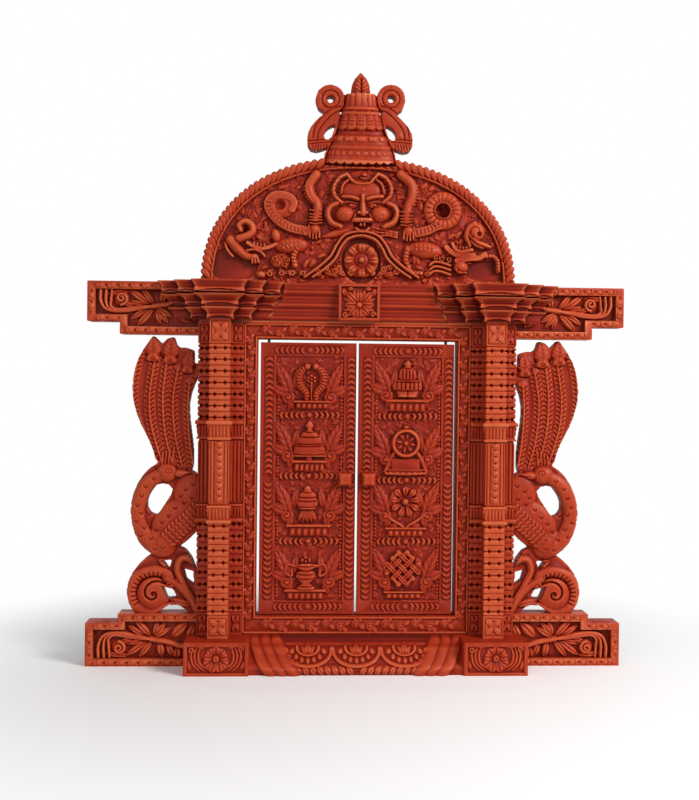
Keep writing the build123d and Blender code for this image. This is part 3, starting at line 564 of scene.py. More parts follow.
    def block(self, x, z, height, soft=0.5, base=None):
        """A raised rectangle with softened arrises, up to a height."""
        patch = self.patch((x[0], z[0]), (x[1], z[1]))
        gap = np.minimum.reduce([
            self.x[patch] - x[0], x[1] - self.x[patch], self.z[patch] - z[0], z[1] - self.z[patch]
        ])
        drop = soft - np.sqrt(np.clip(soft**2 - (soft - np.clip(gap, 0, soft)) ** 2, 0, None))
        self.leave(patch, gap >= 0, self.floor_of(base, patch) + height - drop)

    def sink(self, x, z, height, base=None):
        """A rectangle cut down to a height."""
        patch = self.patch((x[0], z[0]), (x[1], z[1]))
        inside = (self.x[patch] >= x[0]) & (self.x[patch] <= x[1])
        inside &= (self.z[patch] >= z[0]) & (self.z[patch] <= z[1])
        self.height[patch] = np.where(inside, self.floor_of(base, patch) + height, self.height[patch])

    def vessel(self, x, profile, rise, base=None, lines=()):
        """Half of a turned shape: half widths at heights, from the foot up, with lines cut round it."""
        halves, heights = np.array(profile, float).T
        patch = self.patch((x - halves.max(), heights.min()), (x + halves.max(), heights.max()))
        across, z = self.x[patch] - x, self.z[patch]
        half = np.interp(z, heights, halves)
        q = np.abs(across) / np.maximum(half, 1e-6)
        height = self.floor_of(base, patch) + rise * (0.4 + 0.6 * np.sqrt(np.clip(1 - q**2, 0, 1)))
        for line in lines:
            height = height - 0.3 * rise * np.exp(-(((z - line + 0.6 * (1 - q**2)) / 0.5) ** 2))
        self.leave(patch, (q < 1) & (z > heights.min()) & (z < heights.max()), height)

    def flower(self, x, z, radius, petals, rise, base=None, boss=0.28, rib=0.3, belly=0.66, first=0.0):
        """Petals round a boss."""
        width = 2 * math.pi * 0.66 * radius / petals
        for i in range(petals):
            lean = first + 360.0 * i / petals
            root = 0.16 * radius
            out = (x + root * math.sin(math.radians(lean)), z + root * math.cos(math.radians(lean)))
            self.leaf(*out, radius - root, width, rise, lean, base, rib, belly, tip=0.6)
        self.mound(x, z, 2 * boss * radius, 2 * boss * radius, 1.25 * rise, base=base)

    def plume(self, points, pitch, length, width, rise, lean, base=None, rib=0.0, spine=0.0):
        """Pairs of leaves along a curve, spread to both sides, with a spine between them if wanted."""
        for x, z, ahead in steps_along(points, pitch):
            for side in (-1, 1):
                self.leaf(x, z, length, width, rise, ahead + side * lean, base, rib, belly=0.5, tip=0.7)
        if spine:
            self.cord(points, spine, 0.8 * rise, base)

    def crescent(self, x, z, width, bow, thick, rise, turn=0.0, base=None):
        """A bowed stroke, its middle ahead of its ends."""
        patch = self.near(x, z, width / 2 + bow + thick)
        across, along = self.turned_about(patch, x, z, turn)
        u = 2 * across / width
        half = 0.5 * thick * np.sqrt(np.clip(1 - u**2, 0, 1)) + 1e-6
        q = (along - bow * (0.5 - u**2)) / half
        height = self.floor_of(base, patch) + rise * np.sqrt(np.clip(1 - q**2, 0, 1))
        self.leave(patch, (np.abs(u) < 1) & (np.abs(q) < 1), height)

    def crescent_row(self, points, pitch, width, bow, thick, rise, base=None, closed=False):
        for x, z, ahead in steps_along(points, pitch, closed):
            self.crescent(x, z, width, bow, thick, rise, ahead, base)

    def bead_row(self, points, pitch, size, rise, base=None, closed=False):
        for x, z, _ in steps_along(points, pitch, closed):
            self.mound(x, z, size, size, rise, base=base)

    def from_solid(self, node, softness=0.3, smooth=0.0):
        """Takes the outline and the front surface of a solid, a little smoothed if wanted."""
        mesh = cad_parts[node].data
        tree = BVHTree.FromPolygons([v.co for v in mesh.vertices], [p.vertices for p in mesh.polygons])
        ahead, far = Vector((0, 1, 0)), cad_low.y - 1.0
        centre = np.array([self.x.mean(), self.z.mean()])
        depths = []
        for x, z in zip(self.x.ravel(), self.z.ravel()):
            inward = np.sign(centre - (x, z)) * 0.02
            hit = tree.ray_cast(Vector(((x + inward[0]) * MM, far, (z + inward[1]) * MM)), ahead)[0]
            depths.append(-1.0 if hit is None else wall - hit.y / MM)
        depths = np.array(depths).reshape(self.x.shape)
        self.wood = (depths >= 0).astype(float)
        self.softness = softness
        self.height = np.where(depths >= 0, depths, self.ground)
        if smooth:
            self.height = soften(self.height, smooth / self.step[0])

    def gap_to_edge(self, reach):
        """How far each point lies inside the outline, up to a reach."""
        cells = math.ceil(reach / self.step.min())
        outside = np.pad(self.wood < 0.5, cells, constant_values=True)
        rows, columns = self.x.shape
        best = np.full(self.x.shape, float(reach))
        for j in range(-cells, cells + 1):
            for i in range(-cells, cells + 1):
                gap = math.hypot(i * self.step[0], j * self.step[1])
                if gap < reach:
                    there = outside[cells + j:cells + j + rows, cells + i:cells + i + columns]
                    best[there & (best > gap)] = gap
        return best

    def round_edge(self, radius):
        """Takes the sharp arris off the outline."""
        short = np.clip(radius - self.gap_to_edge(radius), 0, radius)
        self.height -= radius - np.sqrt(np.clip(radius**2 - short**2, 0, None))

    def relief(self):
        """How far each point stands above or below its surroundings: 0.5 is level."""
        fine = self.height - soften(self.height, fine_reach / self.step[0])
        broad = self.height - soften(self.height, broad_reach / self.step[0])
        return np.clip(0.5 + relief_gain * fine + broad_gain * broad, 0, 1)


print("tools ready")

# %% [markdown]
# ## From a grid of heights to a piece
# The grid operator makes the sheet and the heights push its points out. Faces outside the outline are
# deleted and the points on the new border are moved onto the outline, so it doesn't run in stairs. The
# border is then extruded to the back and filled, which closes the board. Flat stretches don't need as many
# faces as carved ones, so a decimate step thins the mesh before it is kept.

# %% Making a mesh from a blank


def border_places(blank):
    """Moves the grid's points next to the outline onto it, and says which cells are wood."""
    level = soften(blank.wood, blank.softness / blank.step[0], "constant") - 0.5
    corners = level[:-1, :-1] + level[1:, :-1] + level[:-1, 1:] + level[1:, 1:]
    kept = corners > 0
    near = np.pad(kept, 1)
    touching = near[:-1, :-1].astype(int) + near[1:, :-1] + near[:-1, 1:] + near[1:, 1:]
    slope_z, slope_x = np.gradient(level, blank.step[1], blank.step[0])
    steep = np.maximum(slope_x**2 + slope_z**2, 1e-6)
    on_border = (touching > 0) & (touching < 4)
    most = 0.7 * blank.step.min()
    move_x = np.clip(-level * slope_x / steep, -most, most)
    move_z = np.clip(-level * slope_z / steep, -most, most)
    x = np.where(on_border, blank.x + move_x, blank.x)
    z = np.where(on_border, blank.z + move_z, blank.z)
    return x, z, kept


def sheet_mesh(name, x, depth, z, cells, kept=None):
    """A grid pushed out to these places, as a bmesh, without the cells that aren't kept."""
    bm = bmesh.new()
    bmesh.ops.create_grid(bm, x_segments=int(cells[0]), y_segments=int(cells[1]), size=1.0)
    mesh = bpy.data.meshes.new(name)
    bm.to_mesh(mesh)
    places = np.column_stack([x.ravel(), wall - depth.ravel(), z.ravel()]) * MM
    mesh.vertices.foreach_set("co", places.ravel())
    bm.clear()
    bm.from_mesh(mesh)
    bpy.data.meshes.remove(mesh)
    if kept is not None:
        bm.faces.ensure_lookup_table()
        gone = [bm.faces[k] for k in np.flatnonzero(~kept.ravel())]
        bmesh.ops.delete(bm, geom=gone, context="FACES")
    return bm


def close_back(bm, back):
    """Extrudes the border of a sheet straight back and fills it there."""
    border = [edge for edge in bm.edges if edge.is_boundary]
    made = bmesh.ops.extrude_edge_only(bm, edges=border)["geom"]
    rear = [item for item in made if isinstance(item, bmesh.types.BMVert)]
    for vert in rear:
        vert.co.y = (wall - back) * MM
    loops = [edge for edge in bm.edges if edge.is_boundary]
    bmesh.ops.triangle_fill(bm, use_beauty=False, use_dissolve=False, edges=loops)
    bmesh.ops.recalc_face_normals(bm, faces=bm.faces)


def thinned(obj, share):
    """Replaces an object's mesh by one with fewer faces."""
    modifier = obj.modifiers.new("thin", "DECIMATE")
    modifier.ratio = share
    ready = obj.evaluated_get(bpy.context.evaluated_depsgraph_get())
    mesh = bpy.data.meshes.new_from_object(ready)
    obj.modifiers.clear()
    old, obj.data = obj.data, mesh
    bpy.data.meshes.remove(old)


def sampled(blank, field, x, z):
    """A field of the blank read at any places."""
    column = np.clip((x - blank.low[0]) / blank.step[0], 0, blank.cells[0] - 1e-4)
    row = np.clip((z - blank.low[1]) / blank.step[1], 0, blank.cells[1] - 1e-4)
    i, j = column.astype(int), row.astype(int)
    a, b = column - i, row - j
    low = field[j, i] * (1 - a) + field[j, i + 1] * a
    high = field[j + 1, i] * (1 - a) + field[j + 1, i + 1] * a
    return low * (1 - b) + high * b


def store_relief(mesh, values):
    attribute = mesh.attributes.new("relief", "FLOAT", "POINT")
    attribute.data.foreach_set("value", np.ascontiguousarray(values, np.float32))


def mesh_places(mesh):
    places = np.empty(3 * len(mesh.vertices), np.float32)
    mesh.vertices.foreach_get("co", places)
    return places.reshape(-1, 3) / MM


sharp_angle = math.radians(62)
made_triangles = {}


def piece_from(name, bm, wood, nodes, body):
    """An object from a bmesh: smooth, with its material, riding its body in place of its solids."""
    mesh = bpy.data.meshes.new(name)
    bm.to_mesh(mesh)
    bm.free()
    obj = bpy.data.objects.new(name, mesh)
    bpy.context.collection.objects.link(obj)
    obj.data.materials.append(wood)
    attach(obj, body)
    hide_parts(*nodes)
    return obj


def settle(obj):
    """Smooth shading with the true corners kept sharp, and a count of what the piece holds."""
    mesh = obj.data
    mesh.polygons.foreach_set("use_smooth", [True] * len(mesh.polygons))
    mesh.set_sharp_from_angle(angle=sharp_angle)
    count = sum(len(p.vertices) - 2 for p in mesh.polygons)
    made_triangles[obj.name] = count
    print(obj.name, count, "triangles")


def carved_board(name, blank, back, node, body="frame", wood=upright_wood, keep=0.5):
    """A closed board from a blank, in place of a solid."""
    pierced = hasattr(blank, "softness")
    x, z, kept = border_places(blank) if pierced else (blank.x, blank.z, None)
    bm = sheet_mesh(name, x, blank.height, z, blank.cells, kept)
    close_back(bm, back)
    obj = piece_from(name, bm, wood, [node], body)
    thinned(obj, keep)
    places = mesh_places(obj.data)
    values = sampled(blank, blank.relief(), places[:, 0], places[:, 2])
    # Points at the back get a value a little below level, so the sides darken towards the wall: painted
    # shade.
    behind = wall - places[:, 1] < back + 0.2
    store_relief(obj.data, np.where(behind, 0.42, values))
    settle(obj)
    return obj


print("mesh making ready")

# %% [markdown]
# ## The shutters
# Each leaf is one board. Its border carries arrow-shaped pairs of leaves, and its sunk field holds four of
# the eight lucky signs, each on a little stand between two sprays of leaves. The board's face stays where
# the solid has it, the field is cut below it, and the signs stand up to the solid's own relief.

# %% Small parts of the shutter carving
sign_rise = 3.6
field_sink = 1.0
shutter_relief = 2.4


def leaf_places(node):
    """A function that gives x and z from shares of a leaf, counted from its left and from its top."""
    x, _, z = room(node)
    width, height = x[1] - x[0], z[1] - z[0]
    return (lambda u, v: (x[0] + u * width, z[1] - v * height)), width


def stand(b, at, u, v, base):
    """The low tray under a sign, with a lip and a row of round petals."""
    (x0, z1), (x1, z0) = at(u[0], v[0]), at(u[1], v[1])
    lip = 0.26 * (z1 - z0)
    b.block((x0 + 2.0, x1 - 2.0), (z0, z1), 0.4 * sign_rise, 0.6, base)
    b.cord([(x0 + 0.6, z1 - lip / 2), (x1 - 0.6, z1 - lip / 2)], 1.2 * lip, 0.95 * sign_rise, base)
    count = 6
    pitch = (x1 - x0 - 4.0) / count
    for i in range(count):
        x = x0 + 2.0 + (i + 0.5) * pitch
        drop = 0.5 * (abs(i - (count - 1) / 2) / count)
        b.mound(x, z0 + drop + 0.46 * (z1 - lip - z0), 0.92 * pitch, 1.08 * (z1 - lip - z0), 0.9 * sign_rise,
                0, base)


def spray(b, x, z, size, side, base):
    """Bulging leaves that lean away from a sign, with a curl at their foot."""
    x, foot = x + side * 0.2 * size, z - 0.13 * size
    b.leaf(x, foot, 0.37 * size, 0.145 * size, 3.0, side * 15, base, 0.3, 0.4, 0.7, 5, side * 0.14)
    b.leaf(x - side * 0.045 * size, foot + 0.07 * size, 0.19 * size, 0.09 * size, 2.6, side * -10, base, 0.3,
           0.45, 0.7)
    b.leaf(x + side * 0.015 * size, foot + 0.01 * size, 0.19 * size, 0.115 * size, 2.7, side * 66, base, 0.3,
           0.5, 0.6)
    b.mound(x + side * 0.02 * size, foot - 0.02 * size, 0.15 * size, 0.14 * size, 3.0, 0, base)
    b.groove(spiral(x + side * 0.025 * size, foot - 0.015 * size, 0.05 * size, side * 1.1, 90), 1.2, 1.1)
    b.leaf(x - side * 0.03 * size, foot - 0.02 * size, 0.14 * size, 0.08 * size, 2.3, side * 160, base, 0.3)


def filling(b, rng, x, z, count, base):
    """Small leaves and dents that fill the ground between the signs."""
    for _ in range(count):
        px, pz = rng.uniform(*x), rng.uniform(*z)
        turn, length = rng.uniform(-180, 180), rng.uniform(3.2, 6.0)
        b.leaf(px, pz, length, 0.5 * length, rng.uniform(0.7, 1.5), turn, base, 0.4, 0.45)
        b.punch(rng.uniform(*x), rng.uniform(*z), rng.uniform(0.6, 0.9), 0.7)


def border(b, at):
    """Bowed strokes stacked up both sides and along the ends, and a thin line inside them."""
    low = b.ground - 0.5
    for u in (0.088, 0.945):
        b.sink((at(u - 0.05, 0)[0], at(u + 0.05, 0)[0]), (at(0, 0.95)[1], at(0, 0.05)[1]), -0.5)
        for v_from, v_to in ((0.49, 0.055), (0.51, 0.945)):
            b.crescent_row([at(u, v_from), at(u, v_to)], 4.3, 6.6, 2.3, 2.9, 1.5, low)
    for v in (0.028, 0.973):
        b.sink((at(0.16, 0)[0], at(0.87, 0)[0]), (at(0, v + 0.016)[1], at(0, v - 0.016)[1]), -0.5)
        for u_from, u_to in ((0.47, 0.15), (0.55, 0.87)):
            b.crescent_row([at(u_from, v), at(u_to, v)], 4.2, 6.2, 2.2, 2.8, 1.5, low)
        b.mound(*at(0.51, v), 4.6, 4.6, 1.5, base=low)
    for u in (0.185, 0.85):
        b.bead_row([at(u, 0.06), at(u, 0.5), at(u, 0.94)], 2.7, 2.0, 1.5, b.ground - field_sink)


def divider(b, at, v, base):
    """A row of bowed strokes that parts two signs."""
    for u_from, u_to in ((0.47, 0.2), (0.55, 0.83)):
        b.crescent_row([at(u_from, v), at(u_to, v)], 4.0, 5.6, 2.0, 2.6, 2.2, base)
    b.mound(*at(0.51, v), 4.4, 4.4, 2.4, base=base)


print("shutter tools ready")

# %% The signs of the left leaf


def fish_pair(b, at, w, base):
    """Two fish that stand on their tails and bend together in a ring."""
    x, z = at(0.53, 0.14)
    foot = at(0.53, 0.213)[1]

    def body(share):
        return 0.45 + 0.55 * np.sin(np.pi * np.clip(share, 0, 1)) ** 0.7

    for side in (-1, 1):
        curve = [
            (x + side * 0.05 * w, foot), (x + side * 0.055 * w, z - 0.13 * w),
            (x + side * 0.115 * w, z - 0.05 * w),
            (x + side * 0.128 * w, z + 0.04 * w), (x + side * 0.09 * w, z + 0.115 * w),
            (x + side * 0.03 * w, z + 0.145 * w), ]
        b.cord(curve, 0.092 * w, sign_rise, base, twisted(2.3, 0.4, 0.2), body)
        b.mound(x + side * 0.045 * w, z + 0.148 * w, 5.4, 5.0, 1.12 * sign_rise, side * 30, base)
        b.punch(x + side * 0.047 * w, z + 0.152 * w, 0.8, 0.9)
        outer = [(px + side * 0.045 * w, pz) for px, pz in curve[2:]]
        b.bead_row(outer, 2.7, 2.6, 0.6 * sign_rise, base)
    b.flower(x, z + 0.015 * w, 0.052 * w, 6, 0.7 * sign_rise, base)
    b.cord([(x, foot), (x, z - 0.03 * w)], 1.8, 0.55 * sign_rise, base)


def parasol(b, at, w, base):
    """A domed shade with a knob on top, banded round its rim."""
    x, foot = at(0.515, 0.418)
    h = at(0, 0.288)[1] - foot
    shape = [(0.175, 0.0), (0.17, 0.06), (0.165, 0.2), (0.15, 0.34), (0.115, 0.55), (0.07, 0.68),
             (0.03, 0.73), (0.028, 0.8), (0.045, 0.87), (0.03, 0.94), (0.01, 1.0)]
    profile = [(u * w, foot + v * h) for u, v in shape]
    b.vessel(x, profile, 1.15 * sign_rise, base, [foot + v * h for v in (0.06, 0.3, 0.36, 0.56, 0.7)])
    b.bead_row([(x - 0.13 * w, foot + 0.2 * h), (x, foot + 0.15 * h), (x + 0.13 * w, foot + 0.2 * h)], 3.4,
               1.9, 1.25 * sign_rise, base)
    b.block((x - 2.0, x + 2.0), (at(0, 0.435)[1], foot), 0.7 * sign_rise, 0.4, base)


def tasselled_jar(b, at, w, base):
    """A jar with a pointed lid and a bunch of tassels below."""
    x, foot = at(0.50, 0.612)
    h = at(0, 0.526)[1] - foot
    shape = [(0.08, 0.0), (0.11, 0.18), (0.115, 0.36), (0.09, 0.5), (0.1, 0.54), (0.075, 0.7), (0.035, 0.82),
             (0.04, 0.9), (0.01, 1.0)]
    profile = [(u * w, foot + v * h) for u, v in shape]
    b.vessel(x, profile, 1.1 * sign_rise, base, [foot + v * h for v in (0.1, 0.36, 0.52, 0.74)])
    for lean in (-24, -12, 0, 12, 24):
        b.leaf(x + 0.09 * lean, foot + 0.8, 0.15 * w, 0.05 * w, 0.85 * sign_rise, 180 - lean, base, 0.2, 0.55,
               0.6)


def treasure_vase(b, at, w, base):
    """A footed vase with a flared lip, curling handles and a leaf on top."""
    x, foot = at(0.49, 0.908)
    h = at(0, 0.807)[1] - foot
    shape = [(0.1, 0.0), (0.085, 0.1), (0.045, 0.2), (0.06, 0.3), (0.1, 0.4), (0.105, 0.56), (0.08, 0.64),
             (0.06, 0.7), (0.11, 0.84), (0.12, 0.9), (0.02, 0.94)]
    profile = [(u * w, foot + v * h) for u, v in shape]
    b.vessel(x, profile, 1.15 * sign_rise, base, [foot + v * h for v in (0.12, 0.4, 0.56, 0.7, 0.86)])
    b.flower(x, foot + 1.02 * h, 0.055 * w, 5, 0.8 * sign_rise, base)
    for side in (-1, 1):
        b.cord([(x + side * 0.1 * w, foot + 0.84 * h), (x + side * 0.19 * w, foot + 0.9 * h),
                (x + side * 0.215 * w, foot + 0.62 * h), (x + side * 0.15 * w, foot + 0.5 * h),
                (x + side * 0.15 * w, foot + 0.7 * h)], 2.6, 0.85 * sign_rise, base)


print("signs of the left leaf ready")

# %% The signs of the right leaf


def victory_banner(b, at, w, base):
    """Two ribbed drums under a knob, over a spread of leaves."""
    x, foot = at(0.51, 0.196)
    h = at(0, 0.062)[1] - foot
    shape = [(0.1, 0.0), (0.12, 0.16), (0.15, 0.2), (0.165, 0.3), (0.15, 0.4), (0.135, 0.46), (0.09, 0.48),
             (0.1, 0.56), (0.085, 0.72), (0.05, 0.8), (0.03, 0.84), (0.042, 0.91), (0.01, 1.0)]
    profile = [(u * w, foot + v * h) for u, v in shape]
    b.vessel(x, profile, 1.1 * sign_rise, base, [foot + v * h for v in (0.18, 0.42, 0.48, 0.8)])
    for i in range(-3, 4):
        px = x + 0.045 * w * (i + 0.5)
        b.groove([(px, foot + 0.2 * h), (px, foot + 0.3 * h), (px, foot + 0.4 * h)], 1.1, 1.2)
    for i in range(-2, 2):
        px = x + 0.036 * w * (i + 0.5)
        b.groove([(px, foot + 0.5 * h), (px, foot + 0.62 * h), (px, foot + 0.74 * h)], 1.1, 1.2)
    b.groove([(x, foot), (x, foot + 0.1 * h), (x, foot + 0.17 * h)], 1.4, 1.2)


def wheel(b, at, w, base):
    """An eight-spoked wheel on a stand with curved sides."""
    x, z = at(0.50, 0.367)
    r = 0.155 * w
    top, foot = at(0, 0.425)[1], at(0, 0.482)[1]
    ring = [(x + (r - 1.7) * math.sin(a), z + (r - 1.7) * math.cos(a))
            for a in np.linspace(0, 2 * math.pi, 17)[:-1]]
    for side in (-1, 1):
        b.cord([(x + side * 0.12 * w, z - 0.1 * w), (x + side * 0.16 * w, z - 0.16 * w),
                (x + side * 0.215 * w, foot + 2.5)], 3.4, 0.8 * sign_rise, base)
    b.block((x - 0.15 * w, x + 0.15 * w), (foot, top), 0.6 * sign_rise, 0.6, base)
    b.cord([(x - 0.2 * w, foot + 3.6), (x, foot + 3.0), (x + 0.2 * w, foot + 3.6)], 1.6, 0.8 * sign_rise,
           base)
    b.cord([(x - 0.21 * w, foot + 0.8), (x, foot + 0.2), (x + 0.21 * w, foot + 0.8)], 2.2, 0.95 * sign_rise,
           base)
    b.mound(x, z, 2 * r - 2, 2 * r - 2, 0.35 * sign_rise, base=base, power=0.1)
    b.cord(ring, 3.5, 1.25 * sign_rise, base, closed=True)
    for i in range(8):
        a = math.pi * i / 4 + 0.2
        b.leaf(x + 1.5 * math.sin(a), z + 1.5 * math.cos(a), r - 4.2, 2.6, 0.85 * sign_rise, math.degrees(a),
               base, 0.0, 0.6, 0.4)
    b.mound(x, z, 4.2, 4.2, 1.15 * sign_rise, base=base)
    b.mound(x, z + r + 0.8, 5.0, 3.4, 0.9 * sign_rise, base=base)


def lotus(b, at, w, base):
    """An open flower over two stems with leaves."""
    x, z = at(0.50, 0.583)
    foot = at(0, 0.685)[1]
    for side in (-1, 1):
        b.cord([(x, foot), (x + side * 0.04 * w, foot + 0.04 * w), (x + side * 0.14 * w, foot + 0.1 * w),
                (x + side * 0.22 * w, foot + 0.17 * w)], 2.6, 0.75 * sign_rise, base)
        b.leaf(x + side * 0.06 * w, foot + 0.03 * w, 0.12 * w, 0.06 * w, 0.6 * sign_rise, side * 85, base,
               0.3)
    b.flower(x, z, 0.165 * w, 9, 1.0 * sign_rise, base, boss=0.22, rib=0.35, belly=0.72)
    for i in range(6):
        b.punch(x + 1.5 * math.sin(i * math.pi / 3), z + 1.5 * math.cos(i * math.pi / 3), 0.6, 0.5)


def endless_knot(b, at, w, base):
    """Straps woven over and under, on a corner."""
    x, z = at(0.48, 0.83)
    pitch = 0.086 * w
    lean = math.sqrt(0.5)

    def spot(p, q):
        return (x + (p - q) * lean * pitch, z + (p + q) * lean * pitch)

    def woven(phase):
        def section(across, along):
            lift = 0.82 + 0.18 * np.cos(np.pi * (along / pitch - 0.75 + phase))
            edge = np.clip(1 - np.abs(across) ** 5, 0, 1) ** 0.5
            return edge * lift - 0.22 * np.exp(-((across / 0.22) ** 2))
        return section

    for i in (-1, 0, 1):
        b.cord([spot(-1.75, i), spot(0, i), spot(1.75, i)], 4.0, 1.1 * sign_rise, base, woven(i))
        b.cord([spot(i, -1.75), spot(i, 0), spot(i, 1.75)], 4.0, 1.1 * sign_rise, base, woven(i + 1))
    for a, c in ((-1, 0), (0, 1)):
        for end in (-1.7, 1.7):
            if (end > 0) == (a == 0):
                b.cord([spot(end, a), spot(end, (a + c) / 2), spot(end, c)], 3.1, 1.0 * sign_rise, base,
                       flat_strap)
                b.cord([spot(a, end), spot((a + c) / 2, end), spot(c, end)], 3.1, 1.0 * sign_rise, base,
                       flat_strap)


print("signs of the right leaf ready")

# %% Carve both leaves
left_leaf = {
    "signs": (fish_pair, parasol, tasselled_jar, treasure_vase),
    "stands": ((0.34, 0.73, 0.213, 0.243), (0.33, 0.70, 0.432, 0.474), (0.285, 0.74, 0.668, 0.711),
               (0.27, 0.70, 0.908, 0.946)), "dividers": (0.266, 0.49, 0.731),
    "middles": (0.15, 0.365, 0.585, 0.83),
}
right_leaf = {
    "signs": (victory_banner, wheel, lotus, endless_knot),
    "stands": ((0.286, 0.73, 0.205, 0.25), (0.28, 0.72, 0.462, 0.486), (0.29, 0.72, 0.678, 0.711),
               (0.28, 0.70, 0.915, 0.942)), "dividers": (0.268, 0.504, 0.731),
    "middles": (0.14, 0.375, 0.585, 0.83),
}


def carve_shutter(side, plan):
    node = side + "_shutter"
    x, depth, z = room(node)
    at, w = leaf_places(node)
    face = depth[1] - shutter_relief
    rng = np.random.default_rng(7 if side == "left" else 11)
    b = Blank(x, z, face, 0.42)
    base = face - field_sink
    field = (at(0.165, 0)[0], at(0.87, 0)[0]), (at(0, 0.95)[1], at(0, 0.05)[1])
    b.sink(*field, -field_sink)
    filling(b, rng, *field, 330, base)
    border(b, at)
    for v in plan["dividers"]:
        divider(b, at, v, base)
    for v in plan["middles"]:
        for way in (-1, 1):
            spray(b, *at(0.51, v), w, way, base)
    for u0, u1, v0, v1 in plan["stands"]:
        stand(b, at, (u0, u1), (v0, v1), base)
    for sign in plan["signs"]:
        sign(b, at, w, base)
    knob_x, _, knob_z = room(side + "_knob")
    b.sink(knob_x, knob_z, 0.0)
    b.round_edge(0.7)
    return carved_board(node + "_carving", b, depth[0], node, side + "_leaf", shutter_wood)


carve_shutter("left", left_leaf)
carve_shutter("right", right_leaf)

# %% [markdown]
# ## The crest
# A board with a half-oval head stands on the lintel. A guardian's mask looks out of its middle, two arms
# reach down from the crown and hold coiled serpents, and beasts crouch in the corners over a small arch
# with a flower. The places are read off the picture and turned into millimetres with the camera, because
# no two of these forms repeat. The rim is a row of leaves that all lean towards the top.

# %% Crest: the board and its rim
crest_rise, crest_spread, crest_fullness = 97.0, 0.5, 2.2
crest_field, crest_rim_height = 11.6, 13.8
rim_width, rim_leaf_count = 7.8, 66
rim_tooth, rim_leaf, rim_lean = 2.0, (11.5, 5.0, 2.6), 48
finial_x, finial_depth, finial_z = room("finial")
finial_seat = 379.2
finial_seat_half = 27.2


def spots(*pixels, depth=15.0):
    """Places on the window from pixels of the picture."""
    return [seen(px, py, depth) for px, py in pixels]


def crest_blank():
    """The full arch: a half oval, a little squarer than an ellipse, with a rim of leaning leaves."""
    x = room("crest")[0]
    half, foot = x[1] + crest_spread, room("lintel_beam")[2][1]
    b = Blank((-half, half), (foot, foot + crest_rise), crest_field, 0.45)
    u, v = np.abs(b.x) / half, np.maximum(b.z - foot, 0.01) / crest_rise
    oval = (u**crest_fullness + v**crest_fullness) ** (1 / crest_fullness)
    slope = np.hypot((u / oval) ** (crest_fullness - 1) / half,
                     (v / oval) ** (crest_fullness - 1) / crest_rise)
    inward = (1 - oval) / slope
    along = np.arctan2(u ** (crest_fullness / 2), v ** (crest_fullness / 2)) / (math.pi / 2)
    tooth = np.abs(np.sin(np.pi * rim_leaf_count / 2 * along)) ** 0.6
    b.wood = (inward > rim_tooth * (1 - tooth)).astype(float)
    b.wood[(np.abs(b.x) < finial_seat_half) & (b.z > finial_seat)] = 0.0
    b.softness = 0.35
    b.height[inward < rim_width] = crest_rim_height

    def on_rim(t, depth):
        """A place `depth` inside the outline and the way outwards there; t runs from -1 to 1."""
        share, a = 2 / crest_fullness, abs(t) * math.pi / 2
        px, pz = math.sin(a) ** share, math.cos(a) ** share
        out = math.atan2(px ** (crest_fullness - 1) / half, pz ** (crest_fullness - 1) / crest_rise)
        reach = half * px - depth * math.sin(out)
        return math.copysign(reach, t), foot + crest_rise * pz - depth * math.cos(out), math.copysign(out, t)

    for i in range(rim_leaf_count):
        t = 2 * (i + 0.5) / rim_leaf_count - 1
        px, pz, out = on_rim(t, rim_width - 0.2)
        lean = math.degrees(out) - math.copysign(rim_lean, t)
        b.leaf(px, pz, *rim_leaf, lean, crest_rim_height, 0.2, 0.55, 0.6)
    arc = [on_rim(t, rim_width + 0.6)[:2] for t in np.linspace(-0.99, 0.99, 31)]
    b.cord(arc, 1.7, crest_rim_height - crest_field + 1.1)
    return b


crest = crest_blank()
print("crest blank", crest.cells, "cells")

# %% Crest: the guardian's mask


def field_filling(b, rng, count, low):
    """Small leaves, dots and dents on the ground between the large forms."""
    (x0, x1), (z0, z1) = (b.x.min(), b.x.max()), (b.z.min(), b.z.max())
    for _ in range(count):
        x, z = rng.uniform(x0, x1), rng.uniform(z0, z1)
        if sampled(b, b.height, np.array([x]), np.array([z]))[0] > low + 0.3:
            continue
        b.leaf(x, z, rng.uniform(4, 8), rng.uniform(2.2, 3.8), rng.uniform(0.9, 1.9), rng.uniform(-180, 180))
        for _ in range(3):
            b.punch(x + rng.uniform(-6, 6), z + rng.uniform(-6, 6), rng.uniform(0.6, 1.0),
                    rng.uniform(0.5, 0.9))


